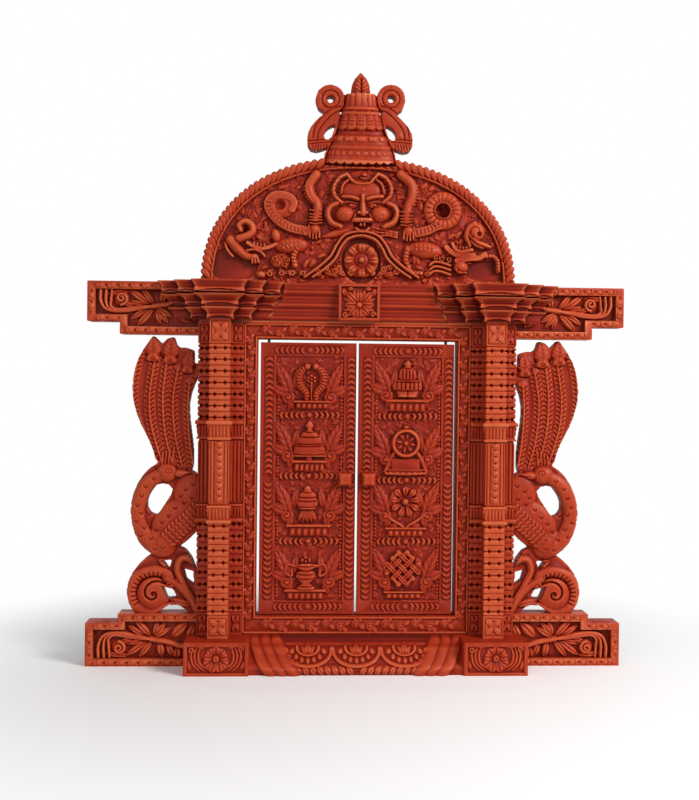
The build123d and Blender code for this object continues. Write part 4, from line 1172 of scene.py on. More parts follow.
def carve_mask(b):
    """A broad face with swelling cheeks, bands round them, a crown of hair and whiskers at its mouth."""
    middle = 362.5
    b.mound(*spots((middle, 203))[0], 50.0, 50.0, 3.0, power=0.3)
    b.mound(*spots((361.5, 191))[0], 33.0, 20.0, 5.2, power=0.4)
    face = b.height.copy()

    def at(side, *places):
        return spots(*[(middle + side * dx, py) for dx, py in places])

    for side in (-1, 1):
        b.cord(at(side, (16, 174.5), (23.5, 178.5), (28.5, 187), (27.5, 196), (21, 202.5)), 3.6, 5.6, None,
               flat_strap)
        b.cord(at(side, (14, 180), (19.5, 185), (21.5, 193)), 2.4, 5.8)
        b.cord(at(side, (25, 203), (32, 207), (34.5, 214), (31, 222), (22, 226.5)), 4.8, 5.4, None,
               flat_strap)
        b.mound(*at(side, (17.2, 214))[0], 15.6, 13.4, 8.0)
        b.cord(at(side, (4.5, 199.6), (11, 197.6), (20, 196.6)), 3.0, 2.8, face)
        b.cord(at(side, (6, 203.8), (12, 202.2), (20, 203)), 1.2, 2.6, face)
        b.mound(*at(side, (10.8, 205.4))[0], 5.6, 3.0, 2.6, 0, face)
        b.cord(at(side, (6, 206), (11, 208), (17, 206.6)), 1.0, 2.0, face)
        b.mound(*at(side, (3.4, 213))[0], 3.8, 3.4, 4.2, 0, face)
        b.cord(at(side, (7.2, 214.5), (8.4, 218), (10.5, 221.4)), 1.4, 3.8, face)
        b.cord(at(side, (0, 220), (8, 220.2)), 3.4, 4.2, face, flat_strap)
        b.cord(at(side, (0, 232), (3.6, 231), (6.5, 228.2)), 2.2, 3.8, face)
    b.leaf(*spots((352, 229))[0], 24.0, 6.8, 3.6, -105, None, 0.0, 0.4, 0.8)
    for drop in (0, 3.4, 6.8):
        line = [(371, 227 + drop), (379, 229 + drop), (388, 231 + 0.6 * drop), (397, 232.5 + 0.7 * drop)]
        b.cord(spots(*line), 2.2, 3.4, None, twisted(3.4, 0.3, 0.3))
    b.cord(spots((347, 174.5), (352, 180.5), (357.5, 183.6), (368.5, 183.8), (372.5, 180.5), (377.5, 175)),
           3.4, 6.0, None, flat_strap)
    b.mound(*spots((364.5, 175))[0], 4.6, 4.6, 5.2)
    b.crescent(*spots((364.5, 177.5))[0], 8.5, 2.4, 2.2, 5.6, 180)
    b.cord(spots((362.6, 196), (362.8, 205), (363.2, 213.4)), 5.6, 4.8, face, taper=lambda t: 0.55 + 0.45 * t)
    brow = b.height.copy()
    b.mound(*spots((362.7, 190))[0], 2.0, 2.0, 0.9, 0, brow)
    b.groove(spots((355.5, 224.6), (362.5, 226), (369.5, 224.6)), 4.4, 2.6)
    for side in (-1, 1):
        b.mound(*at(side, (1.7, 224.6))[0], 2.0, 3.2, 3.4, 0, face)
        b.groove(spiral(*at(side, (19, 217.4))[0], 2.4, side * 0.8, 200), 0.9, 0.7)
        b.punch(*at(side, (10.6, 205.4))[0], 0.8, 1.2)
        b.punch(*at(side, (3.2, 214.6))[0], 0.7, 1.2)
        b.groove(at(side, (9, 208.6), (16, 207.4), (24, 206)), 0.9, 1.0)
        for i in range(5):
            b.groove(at(side, (20.5, 180 + 4.2 * i), (28.5, 178.5 + 4.2 * i)), 0.9, 0.9)


field_filling(crest, np.random.default_rng(3), 700, crest_field)
carve_mask(crest)
print("mask up to", round(float(crest.height.max()), 1), "mm from the wall")

# %% Crest: arms, serpents and beasts


def flat_band(across, along):
    """A broad low section with a raised line along each side."""
    edge = 0.18 * np.exp(-(((np.abs(across) - 0.78) / 0.14) ** 2))
    return 0.86 * np.clip(1 - across**4, 0, 1) ** 0.5 + edge


def hand(b, x, z, side):
    """A closed hand seen from the back, fingers down."""
    b.mound(x, z, 9.2, 10.0, 5.6)
    for i in range(4):
        b.cord([(x + (2.3 * i - 3.4), z - 1.2), (x + (2.45 * i - 3.6), z - 7.4 + 0.9 * abs(i - 1.5))], 2.1,
               5.0)
    b.cord([(x + side * 4.0, z + 2.6), (x + side * 5.2, z - 3.6)], 2.2, 4.4)


def carve_arms(b):
    arms = (
        (-1, (316, 174), (309.5, 185), (311.5, 195), (317, 203), (317, 213), (315.5, 219), (314.5, 229)),
        (1, (401, 174), (411.5, 184), (412.5, 195), (408.5, 206), (406.5, 214), (406.5, 221), (408.5, 231)),
    )
    for side, *places, palm in arms:
        b.cord(spots(*places), 7.8, 5.6)
        b.cord(spots(*[(px + side * 3.4, py) for px, py in places[:4]]), 1.6, 5.4)
        px, py = places[-1]
        for shift in (-8, -4, -1, 2, 5):
            (x0, z0), (x1, z1) = spots((px - 5.5, py + shift - 1), (px + 5.5, py + shift - 1))
            b.cord([(x0, z0), ((x0 + x1) / 2, z0 - 0.7), (x1, z1)], 1.7, 6.2)
        b.bead_row(spots(*[(px + side * 5.2, py) for px, py in places[1:4]]), 2.6, 2.6, 3.8)
        hand(b, *spots(palm)[0], side)


def carve_serpents(b):
    coil = spots((280, 204.5))[0]
    b.mound(*coil, 23.0, 21.0, 3.2, power=0.35)
    run = spots((306, 231), (290, 227), (277, 219), (269, 208), (269.5, 199.5), (277, 194.5), (288, 196),
                (294, 202), (292, 209))
    b.cord(run, 7.6, 4.6, None, flat_band, lambda t: 1.0 - 0.45 * np.clip(t - 0.45, 0, 1))
    skin = b.height.copy()
    b.crescent_row(run[:5], 2.9, 4.4, 1.2, 1.4, 1.0, skin)
    b.bead_row(spots((300, 227.5), (289, 223), (280, 216.5)), 2.7, 1.5, 0.9, skin)
    b.punch(*coil, 4.6, 4.0)
    ring = spots((443, 210.6))[0]
    b.cord(ring_of(ring, 10.2, 10.2, 14), 9.4, 4.8, None, twisted(3.4, 0.2, 0.1), closed=True)
    b.cord(ring_of(ring, 6.2, 6.2, 14), 1.5, 5.2, closed=True)
    for a in np.linspace(1.9, 4.4, 8):
        b.punch(ring[0] + 11.5 * math.cos(a), ring[1] + 11.5 * math.sin(a), 0.9, 1.0)
    b.cord(spots((416, 233), (427, 230.5), (436, 226.5), (444, 224)), 7.4, 4.4, None, flat_band)
    skin = b.height.copy()
    b.crescent_row(spots((416, 233), (427, 230.5), (438, 226)), 2.9, 4.4, 1.2, 1.4, 1.0, skin)
    b.punch(*ring, 5.4, 4.4)


def scrolls(b, places, side, base=None):
    """Small leaf curls of different sizes, each with a leaf beside it."""
    for i, (x, z, size) in enumerate(places):
        way = side if i % 2 else -side
        b.cord(spiral(x, z, size, way * 1.15, 60 + 50 * i), 0.52 * size + 0.5, 3.6 + 0.3 * (i % 3), base)
        b.leaf(x - way * 0.8 * size, z - 0.6 * size, 1.9 * size, 0.9 * size, 3.0, way * (-30 - 9 * i), base,
               0.3)


def plain_hollow(b, place, width, length, drop):
    """Clear the ground round a place and sink it, as in the dark corners behind the beasts."""
    x, z = spots(place)[0]
    hollow = np.hypot((b.x - x) / (width / 2), (b.z - z) / (length / 2)) < 1
    b.height[hollow & (b.height < crest_field + 2.1)] = crest_field - drop


def swelling(t):
    return 0.7 + 0.3 * np.sin(np.pi * np.clip(t, 0, 1))


def teeth(b, *places):
    for place in spots(*places):
        b.mound(*place, 2.0, 3.4, 4.3)


def left_beast(b):
    plain_hollow(b, (233, 264), 38.0, 26.0, 1.4)
    trunk = ((238.5, 238.5), (247, 235.5), (252.5, 231), (251.5, 224.5), (245, 221), (239, 224.5),
             (240.5, 229.5))
    b.cord(spots(*trunk), 6.4, 5.4, taper=lambda t: 1.1 - 0.4 * t)
    b.punch(*spots((245.4, 229.2))[0], 2.6, 2.2)
    b.cord(spots((230.5, 240), (237, 248), (246, 255.5), (252.5, 257)), 7.8, 5.2,
           taper=lambda t: 1.05 - 0.3 * t)
    b.cord(spots((225, 243), (227.5, 250), (232.5, 256)), 2.4, 3.0)
    b.mound(*spots((254.5, 256.8))[0], 6.4, 5.6, 5.4)
    for i in range(3):
        b.cord(spots((252 + 2.6 * i, 257), (252.4 + 3.0 * i, 263 - 0.4 * i)), 2.2, 5.0)
    b.cord(spots((247.5, 242.5), (253, 245.8), (261, 248.4), (269, 247), (276, 244)), 3.2, 4.8, None,
           flat_band)
    b.cord(spots((246.5, 250.5), (254, 249.4), (261, 252), (264.5, 256)), 2.4, 4.4)
    teeth(b, (254, 243.2), (257.4, 244.2), (260.8, 245), (264.2, 244.8))
    b.mound(*spots((276, 235.5))[0], 11.0, 7.0, 4.0, 75)
    b.punch(*spots((271.5, 240))[0], 2.0, 1.8)
    b.mound(*spots((291, 245))[0], 26.0, 12.0, 4.6, -6)
    b.cord(spots((298, 247), (293.5, 256), (295, 265)), 4.8, 4.4, None, twisted(2.6, 0.4, 0.15))
    b.mound(*spots((280, 261))[0], 15.0, 12.0, 4.6, power=0.4)
    for px, py, size in ((275, 258, 2.2), (281, 257, 2.5), (286.5, 260, 2.2), (277, 263.5, 2.5),
                         (284, 265, 2.2)):
        b.cord(spiral(*spots((px, py))[0], size, 1.1, 15 * px), 1.4, 5.6)
    b.mound(*spots((261, 274.5))[0], 7.4, 5.6, 5.0)


def right_beast(b):
    plain_hollow(b, (489, 271), 38.0, 16.0, 1.4)
    bulb = spots((475.5, 231.5))[0]
    b.mound(*bulb, 15.5, 15.5, 6.2)
    b.cord(spots((470, 245), (466.6, 237), (468.6, 228), (475.5, 222.5)), 4.2, 4.8, taper=swelling)
    b.cord(spots((472, 238), (478, 242.6), (484, 245), (490, 247)), 4.6, 5.4, taper=swelling)
    b.cord(spots((470.5, 241), (476, 245.6), (483, 248.4)), 1.8, 4.4)
    b.cord(spots((452.5, 243.5), (455.5, 249.5), (461.5, 251.6), (472, 249.8)), 2.8, 5.0, None, flat_band)
    teeth(b, (457, 247), (460.2, 248), (463.4, 248.2), (466.6, 247.6), (469.6, 246.4))
    b.cord(spots((446.5, 247), (451.5, 252), (458, 255.2), (466, 254.6), (474, 255.4)), 4.2, 4.6, None,
           flat_band)
    b.cord(spots((457, 260.6), (464, 259.6), (471, 258.4), (479, 258), (485, 254.4)), 4.4, 4.8, None,
           flat_band)
    b.cord(spots((485, 256.6), (493, 256.4), (498, 261.5), (498.5, 271)), 3.6, 4.4, None,
           twisted(2.4, 0.4, 0.15))
    b.mound(*spots((461, 266.5))[0], 11.5, 10.5, 5.6)
    b.cord(spots((455.5, 268.5), (459, 272.6), (466, 273)), 2.0, 5.4)
    b.mound(*spots((425, 250))[0], 28.0, 13.0, 4.9, 6)
    b.cord(spots((408, 248), (405.8, 259), (408.5, 267)), 4.8, 4.4, None, twisted(2.6, 0.4, 0.15))
    b.cord(spots((408, 268), (413, 272.5), (421, 273.4)), 4.0, 4.6, None, twisted(2.4, 0.4, 0.15))
    for drop in (0, 4.6, 9.2):
        b.cord(spots((430, 265 + drop), (434, 262 + drop), (441, 262.4 + drop), (450, 265.5 + drop)), 2.6,
               4.4)
    for px, py, size in ((442, 258.6, 2.3), (448.5, 259.6, 2.3), (436, 258, 1.9)):
        b.cord(spiral(*spots((px, py))[0], size, 1.1, 15 * px), 1.4, 4.8)
    b.punch(*spots((479.2, 234.4))[0], 2.3, 3.4)
    b.groove(spiral(*bulb, 4.8, -0.8, 250), 1.3, 1.2)
    for i in range(3):
        b.groove(spots((464.2 + i, 263.4 + 1.4 * i), (467.2 + i, 262 + 1.4 * i)), 1.0, 0.9)
    b.punch(*spots((458, 270))[0], 1.2, 1.2)


def carve_beasts(b):
    """A crouching beast in each corner: curled trunk, open jaws, a forearm, and foliage at its feet."""
    left_beast(b)
    right_beast(b)
    hide = b.height.copy()
    for line in (((302, 243.4), (292, 243), (282, 245.6)), ((413, 247), (423, 247), (434, 250))):
        for row in (-2.0, 2.4):
            for x, z, ahead in steps_along(spots(*[(px, py + row) for px, py in line]), 3.4):
                b.crescent(x, z, 3.8, 1.4, 1.1, 0.8, ahead, hide)
                b.punch(x, z + 1.6, 0.6, 0.7)
    for px, py, turn, length in (
        (303, 269, 24, 10), (308, 268, 38, 10), (322, 262, 50, 10), (316, 258, 62, 9), (264, 239.6, -62, 9),
        (415, 265, -8, 9), (420, 266, -22, 9), (402, 262, -50, 9), (455, 240, 30, 9), (447, 239, 55, 9),
    ):
        b.leaf(*spots((px, py))[0], length, 0.36 * length, 3.2, turn, None, 0.3, 0.5, 0.8, 3, 0.08)
    left = ((270, 273.5, 2.6), (281, 273, 2.6), (292, 272.4, 2.6), (303, 273.4, 2.4), (318, 272, 2.6),
            (327, 268, 2.2), (335, 272, 2.6))
    right = ((427, 273.6, 2.2), (397, 272, 2.4), (390, 268, 2.2))
    for side, row in ((-1, left), (1, right)):
        scrolls(b, [(*spots((px, py))[0], size) for px, py, size in row], side)
    for px, py in ((290, 172), (299, 178), (281, 180), (262, 193), (255, 204), (247, 212), (300, 195),
                   (328, 190), (330, 181),
                   (427, 180), (436, 187), (426, 191), (419, 203), (462, 199), (468, 208), (475, 214),
                   (491, 238), (399, 190)):
        b.flower(*spots((px, py))[0], 2.3, 5, 1.5)


carve_arms(crest)
carve_serpents(crest)
carve_beasts(crest)
print("arms, serpents and beasts carved")

# %% Crest: the small arch and its flower


def carve_arch(b):
    inner = ((49, 277), (36, 268), (26, 258), (20.5, 247), (13, 238.5), (0, 235.5))
    outer = ((57, 277), (43, 267), (31, 256), (25, 245), (16, 234.5), (0, 231.5))
    for line in (inner, outer):
        places = [(361.5 - dx, py) for dx, py in line] + [(361.5 + dx, py + 0.8) for dx, py in line[-2::-1]]
        b.cord(spots(*places), 2.6, 5.2)
    low = spots((361.5, 260))[0]
    plain_hollow(b, (361.5, 260), 30.0, 35.0, 2.4)
    b.mound(*low, 26.0, 26.0, 1.6, power=0.15)
    b.flower(*low, 13.0, 8, 4.6, None, 0.2, 0.3, 0.74)
    b.groove(ring_of(low, 5.4, 5.4, 12), 1.2, 0.8, closed=True)
    for side in (-1, 1):
        for dx, py, turn, length in ((15, 276, 60, 12), (21, 276, 74, 13), (9, 276, 35, 6),
                                     (28, 276, 58, 11)):
            b.leaf(*spots((361.5 + side * dx, py))[0], length, 4.8, 3.6, side * turn, None, 0.3, 0.5, 0.8, 4)
        scrolls(b, [(*spots((361.5 + side * 22, 269))[0], 2.4)], side)


carve_arch(crest)
crest.round_edge(0.8)
carved_board("crest_carving", crest, room("crest")[1][0], "crest", keep=0.42)

# %% [markdown]
# ## The finial
# The pot-shaped finial is half round, like a bell with a bud on it, and a ribbon falls from a loop on
# each side. The outline comes from the solid and the bell is laid over it as a turned shape. Rings,
# petals and a fringe are then cut to follow its roundness.

# %% Finial


def carve_finial():
    b = Blank(finial_x, (finial_seat - 0.2, finial_z[1]), 10.5, 0.38)
    b.from_solid("finial", 0.6)
    for side in (-1, 1):
        x, z = seen(360.8 + side * 30.3, 99, 12.0)
        away = np.hypot(b.x - x, b.z - z)
        b.wood = np.where(away < 10.7, (away > 2.6).astype(float), b.wood)
    b.wood[(np.abs(b.x) < 27.0) & (b.z < 384.0)] = 1.0
    b.height[:] = 12.5
    top = finial_z[1]

    def at(px, py):
        return seen(px, py, 12.0)

    middle = at(360.8, 110)[0]
    for side in (-1, 1):
        loop = at(360.8 + side * 30.3, 99)
        b.groove(ring_of(loop, 6.6, 6.6, 12), 1.1, 1.0, closed=True)
        b.punch(*loop, 4.0, 2.0)
        tail = [at(360.8 + side * dx, py) for dx, py in ((18, 108), (28, 111), (37, 119), (44, 129),
                                                         (46, 139))]
        for shift in (-1.6, 1.6):
            b.groove([(x + side * shift, z + 0.8 * shift) for x, z in tail], 1.0, 1.0)
        for py in (140, 143):
            b.groove([at(360.8 + side * 30, py - 1), at(360.8 + side * 53, py + 1)], 0.9, 0.9)
        for i in range(6):
            end = at(360.8 + side * (34 + 2.8 * i), 145)
            b.groove([end, (end[0] + side * 0.8, end[1] - 4.0)], 0.9, 0.9)
    bell = [(27.0, 379.0), (26.4, 385.6), (23.6, 394.0), (22.4, 396.5), (20.2, 402), (19.2, 404.0),
            (18.4, 406.4),
            (16.2, 414.5), (15.6, 417.2), (15.8, 418.4), (14.4, 420.4), (14.6, 422.2), (13.2, 423.6),
            (12.2, 433.4), (11.8, 434.0)]
    halves, heights = np.array(bell).T
    half = np.interp(b.z, heights, halves)
    q = (b.x - middle) / half
    inside = (np.abs(q) < 1) & (b.z < heights[-1])
    roundness = np.sqrt(np.clip(1 - q**2, 0, 1))
    sag = 2.0 * (1 - roundness)
    z = b.z - sag
    bands = ((378.0, 383.0, 1.2), (383.0, 391.3, 0.5), (391.3, 392.6, 1.4), (392.6, 394.0, 1.0),
             (394.0, 401.6, 0.2), (401.6, 405.6, -1.6),
             (405.6, 417.0, 0.9), (417.0, 419.6, 1.5), (419.6, 420.6, -0.2), (420.6, 423.2, 1.2),
             (423.2, 435, 0.2))
    proud = np.zeros(b.x.shape)
    for low, high, out in bands:
        proud = np.where((z >= low) & (z < high), out, proud)
    proud = soften(proud, 0.35 / b.step[0])
    angle = np.arcsin(np.clip(q, -1, 1))
    turn = angle / math.pi

    def repeat(count, power):
        return np.abs(np.sin(np.pi * turn * count + (0.5 * np.pi if count % 2 else 0))) ** power

    def within(low, high):
        return (z >= low) & (z < high)

    proud += np.where(within(386.6, 389.6), 0.8 * repeat(14, 1.5), 0)
    proud += np.where(within(397.2, 400.4), 1.1 * (repeat(7, 1.0) > 0.5), 0)
    tongue = np.clip((406.6 + 1.2 * (1 - repeat(7, 1.0)) - z) / 1.0, 0, 1)
    proud -= np.where(within(405.4, 417.0), 1.6 * (1 - repeat(7, 0.22)) + 1.4 * tongue, 0)
    proud += np.where(within(408.0, 414.5), 0.5 * np.cos(2 * np.pi * z / 2.6) * (repeat(7, 1.0) > 0.5), 0)
    proud -= np.where(within(423.6, 434), 1.3 * (1 - repeat(8, 0.3)), 0)
    proud = soften(proud, 0.2 / b.step[0])
    body = 9.0 + 8.6 * roundness + proud
    scallop = 380.0 + 1.7 * (1 - np.abs(np.sin(np.pi * b.x / 6.0)) ** 0.6) + 0.0018 * b.x**2
    body = np.where(b.z < scallop, 10.0, body)
    b.height = np.where(inside, np.maximum(body, 8.0), b.height)
    b.leaf(middle, 431.5, top - 431.5, 14.2, 5.6, 0, 10.0, 0.25, 0.34, 0.8, 6)
    b.groove([(middle, 433.5), (middle, top - 4)], 0.9, 1.0)
    b.round_edge(1.0)
    return b


carved_board("finial_carving", carve_finial(), finial_depth[0], "finial", keep=0.5)
# %% [markdown]
# ## The birds
# A peacock stands on a scroll at each side, its head turned back to the post and its train swept up over it.
# Only one is carved here. The other is the same plan seen in a mirror, which is how a carver would lay
# out a pair too, with one pattern turned over. The outline and its openings come from the solid.

# %% The birds
bird_ground = 10.6


def carve_bird(side):
    x, depth, z = room(side + "_bird")
    post = room(side + "_post")[0]
    way = 1 if side == "right" else -1
    span = (post[1], x[1]) if way > 0 else (x[0], post[0])
    b = Blank(span, z, bird_ground, 0.42)
    b.from_solid(side + "_bird", 0.7)
    b.height[:] = bird_ground
    edge, top = (span[1] if way > 0 else span[0]), z[1]
    across, down = np.abs(edge - b.x), top - b.z
    b.wood[(across > 34 + 0.4 * down) & (down < 9.6)] = 0.0
    b.wood[(across > 49.2) & (down < 21)] = 0.0
    b.wood[down < 7.0 - 1.03 * np.abs(across - 24.8)] = 0.0
    b.wood[(across > 45.2) & (down < 13.6) & (np.hypot(across - 45.2, down - 13.6) > 4)] = 0.0

    def at(*places):
        """Places counted inwards from the outer edge and down from the top."""
        return [(edge - way * across, top - down) for across, down in places]

    feathers = (
        ((50, 103), (46.5, 80), (45.0, 56), (46.0, 36)),
        ((41, 99), (35.5, 76), (33.5, 50), (37.0, 26)),
        ((33, 96), (27.5, 72), (26.0, 46), (28.5, 22)),
        ((25, 95), (17.5, 68), (16.0, 46), (19.5, 20)),
        ((22.5, 96), (8.0, 72), (3.4, 46), (6.0, 22), (11.0, 10)),
    )
    for line in feathers:
        b.cord(at(*line), 9.2, 1.5)
    quilt = b.height.copy()
    for line in feathers:
        b.cord(at(*line), 1.5, 0.9, quilt)
        for x0, z0, ahead in steps_along(at(*line), 3.5):
            sine, cosine = math.sin(math.radians(ahead)), math.cos(math.radians(ahead))
            for half in (-1, 1):
                barb = [(x0 + half * u * cosine + v * sine, z0 - half * u * sine + v * cosine)
                        for u, v in ((1.0, -0.6), (2.2, 0.9), (3.2, 1.1))]
                b.groove(barb, 1.2, 1.1)
    tips = ((18.2, 15.5, 5.4, 15.0, 0), (31.0, 17.0, 5.6, 16.0, 4), (44.5, 24.5, 5.0, 14.0, 6))
    for across, down, size, reach, lean in tips:
        x0, z0 = at((across, down))[0]
        b.leaf(x0, z0 - 1.0, reach, 2.2 * size, 2.4, way * -lean, None, 0.3, 0.36, 0.8, 5)
        for lean_out in (-58, 58, -24, 24, 0):
            b.leaf(x0, z0 - 0.9 * size, (1.5 - 0.004 * abs(lean_out)) * size, 0.72 * size, 3.2, lean_out,
                   None, 0.3, 0.6, 0.6)
        cup = [(x0 + u * size, z0 + v * size) for u, v in ((-1.05, 0.3), (-0.85, -0.6), (0, -1.0),
                                                           (0.85, -0.6), (1.05, 0.3))]
        b.groove(cup, 1.4, 1.3)
    for across, down in ((33.5, 97), (30.5, 98), (28, 99), (25.5, 100)):
        b.cord(at((across + 1.0, down - 11), (across, down)), 1.6, 1.1, quilt)

    def neck(share):
        return 0.8 + 0.35 * np.clip(share, 0, 1)

    b.cord(at((28, 104), (15.5, 112), (9.0, 124), (7.2, 137), (11.5, 150), (22, 160)), 12.6, 4.6, None,
           rounded, neck)
    b.mound(*at((46.5, 121))[0], 24.0, 34.0, 4.0)
    b.mound(*at((38.5, 141))[0], 33.0, 46.0, 4.8, way * -52)
    b.mound(*at((25, 157))[0], 26.0, 22.0, 4.6, way * -40)
    b.mound(*at((29.5, 104))[0], 16.5, 14.5, 5.2)
    b.leaf(*at((35, 105))[0], 13.0, 6.6, 4.8, way * -84, None, 0.0, 0.3)
    skin = b.height.copy()
    wing = ((54, 132), (45, 141), (36, 149), (29, 157))
    b.cord(at(*wing), 13.0, 0.7, skin)
    for shift in (-4.2, 0.0, 4.2):
        line = at(*[(across + 0.75 * shift, down + 0.75 * shift) for across, down in wing])
        b.plume(line[::-1], 3.4, 4.4, 2.6, 1.6, 38, skin, 0.0, 0.6)
    spots_at = ((20, 109), (14, 115), (11, 122), (8, 129), (11, 135), (7, 141), (13, 146), (10, 152),
                (18, 154), (22, 148),
                (26, 142), (31, 137), (36, 131), (43, 127), (49, 123), (44, 117), (50, 113), (40, 122),
                (21, 162), (27, 161), (16, 136), (17, 129))
    for across, down in spots_at:
        x0, z0 = at((across, down))[0]
        b.groove([(x0 - 1.3, z0 + 0.7), (x0, z0 - 0.7), (x0 + 1.3, z0 + 0.7)], 1.3, 1.0)
    eye = at((31.2, 102.5))[0]
    b.groove(ring_of(eye, 2.6, 1.8, 10), 0.9, 0.9,
             closed=True)
    b.punch(*eye, 1.0, 0.8)
    b.groove(at((39, 105.5), (49, 105)), 0.8, 0.8)

    centre = at((20.0, 196))[0]
    outer = [at((33, 188))[0], at((30, 181))[0], at((20, 178.5))[0], at((8, 183))[0], at((3.4, 195))[0],
             at((8, 206))[0], at((19, 210.5))[0], at((28, 206))[0]]
    b.cord(outer, 8.4, 3.4)
    b.mound(*centre, 25.0, 25.0, 4.4, power=0.3)
    b.groove(spiral(*centre, 12.0, way * -2.0, 90 + way * 50, 0.16), 2.0, 2.4)
    for turn in np.arange(-60.0, 131.0, 12.0):
        sine, cosine = way * math.sin(math.radians(turn)), math.cos(math.radians(turn))
        b.groove([(centre[0] + r * sine, centre[1] + r * cosine) for r in (12.6, 14.4, 16.6)], 1.3, 1.3)
    b.cord(at((53, 208), (47, 198), (40, 190), (30, 184)), 6.0, 3.6, None, flat_strap)
    b.cord(at((53, 173), (46, 169), (40, 170), (38, 178), (42, 188), (49, 200)), 5.2, 3.4, None, flat_strap)
    b.leaf(*at((34, 176))[0], 12.0, 6.0, 3.8, way * 60, None, 0.3, 0.5, 0.8, 4)
    b.leaf(*at((50, 205))[0], 18.0, 6.0, 3.4, way * 75, None, 0.3, 0.5, 0.8, 5)
    b.leaf(*at((40, 204))[0], 18.0, 5.5, 3.2, way * 95, None, 0.3, 0.5, 0.8, 5)
    b.mound(*at((50, 168))[0], 9.0, 7.0, 3.4)
    b.round_edge(1.2)
    return carved_board(side + "_bird_carving", b, depth[0], side + "_bird", keep=0.5)


for side in ("left", "right"):
    carve_bird(side)
# %% [markdown]
# ## Columns and posts
# A slim column stands in front of each post, and the post shows as a notched strip on either side of it.
# Both carry the same bands: rows of paired dents on a dark groove, a collar, a lined shaft, a second
# collar and more rows. A lathe or a saw would cut the grooves right round, so they are cut into the
# outline as well as into the face.

# %% Columns and posts
upper_rows = np.linspace(188.6, 240.2, 7)
lower_rows = np.linspace(44.6, 108.0, 8)
shaft = (123.4, 172.0)
block_edges = (41.6, 243.4)


def band_offsets(z):
    """How far the face of a column stands in or out at each height."""
    offset = np.zeros(z.shape)
    for rows in (lower_rows, upper_rows):
        for row in rows:
            offset -= 1.25 * np.exp(-(((z - row) / 0.55) ** 2))
        for line in (rows[1:] + rows[:-1]) / 2:
            offset -= 0.75 * np.exp(-(((z - line) / 0.32) ** 2))
    for middle, half, out in ((111.3, 1.6, 1.5), (122.4, 1.2, 1.0), (172.9, 1.0, 0.8), (184.6, 1.9, 1.9)):
        offset += out * np.sqrt(np.clip(1 - ((z - middle) / half) ** 2, 0, 1))
    offset += np.where((z > 113.2) & (z < 121.0), 0.2 + 0.1 * (z - 113.2), 0)
    offset += np.where((z > 174.2) & (z < 182.6), 0.1 + 0.1 * (z - 174.2), 0)
    ends = np.minimum(z - shaft[0], shaft[1] - z)
    offset -= np.where(ends > 0, 0.4 + 0.9 * np.clip(1 - ends / 2.5, 0, 1) ** 2, 0)
    for edge in block_edges:
        offset -= 0.9 * np.exp(-(((z - edge) / 0.4) ** 2))
    return offset


def carve_strip(b, x, chain):
    """The cuts on one face between two edges."""
    width = x[1] - x[0]
    low, high = b.z.min(), b.z.max()
    for row in (*lower_rows, *upper_rows):
        for u in (0.26, 0.74):
            place = x[0] + u * width
            b.punch(place, row, 1.55, 1.7)
            b.punch(place, row + 1.0, 0.9, 0.8)
            b.punch(place, row - 1.0, 0.9, 0.8)
    for z0, z1 in ((113.6, 120.6), (174.6, 182.0)):
        count = round(width / 2.6)
        for i in range(count + 1):
            place = x[0] + width * i / count
            b.groove([(place, z0), (place, z1)], 0.9, 0.8)
    for u in ((0.1, 0.26, 0.74, 0.9) if chain else (0.2, 0.5, 0.8)):
        b.groove([(x[0] + u * width, shaft[0] + 2), (x[0] + u * width, shaft[1] - 2)], 1.0, 0.9)
    if chain:
        middle = x[0] + 0.5 * width
        face = b.height.copy()
        for place in np.arange(shaft[0] + 4.5, shaft[1] - 3, 5.1):
            b.mound(middle, place, 4.4, 4.6, 0.9, 0, face)
            b.crescent(middle, place, 3.0, 1.0, 1.0, 1.4, 0, face)
            b.punch(middle, place + 2.5, 0.8, 1.0)
    for z0, z1 in ((low, block_edges[0]), (block_edges[1], high)):
        inset = 1.4
        frame_line = [(x[0] + inset, z0 + inset + 0.6), (x[1] - inset, z0 + inset + 0.6),
                      (x[1] - inset, z1 - inset - 0.6), (x[0] + inset, z1 - inset - 0.6)]
        for start, end in zip(frame_line, frame_line[1:] + frame_line[:1]):
            b.groove([start, end], 0.8, 0.7)
        mid_x, mid_z = (x[0] + x[1]) / 2, (z0 + z1) / 2
        reach = math.hypot(width / 2 - 2.2, (z1 - z0) / 2 - 2.6)
        lean = math.degrees(math.atan2(width / 2 - 2.2, (z1 - z0) / 2 - 2.6))
        face = b.height.copy()
        for turn in (lean, -lean, 180 - lean, 180 + lean):
            b.leaf(mid_x, mid_z, reach, 0.24 * width, 1.0, turn, face, 0.5, 0.6, 0.8)
        for u, v in ((0.5, 0.26), (0.5, 0.74), (0.26, 0.5), (0.74, 0.5)):
            b.punch(x[0] + u * width, z0 + v * (z1 - z0), 1.0, 0.8)


def carve_column(side):
    node = side + "_front_column"
    x, depth, _ = room(node)
    foot, head = room(side + "_post")[2][0] + 7.0, room("left_capital")[2][0]
    bulge = 2.2
    b = Blank((x[0] - bulge, x[1] + bulge), (foot, head), depth[1], 0.36)
    offset = band_offsets(b.z)
    middle, half = (x[0] + x[1]) / 2, (x[1] - x[0]) / 2
    b.wood = (np.abs(b.x - middle) < half + offset).astype(float)
    b.softness = 0.22
    b.height = depth[1] + offset
    carve_strip(b, x, True)
    b.round_edge(0.5)
    return carved_board(side + "_column_carving", b, depth[0], node, wood=painted_lit_column_wood, keep=0.5)


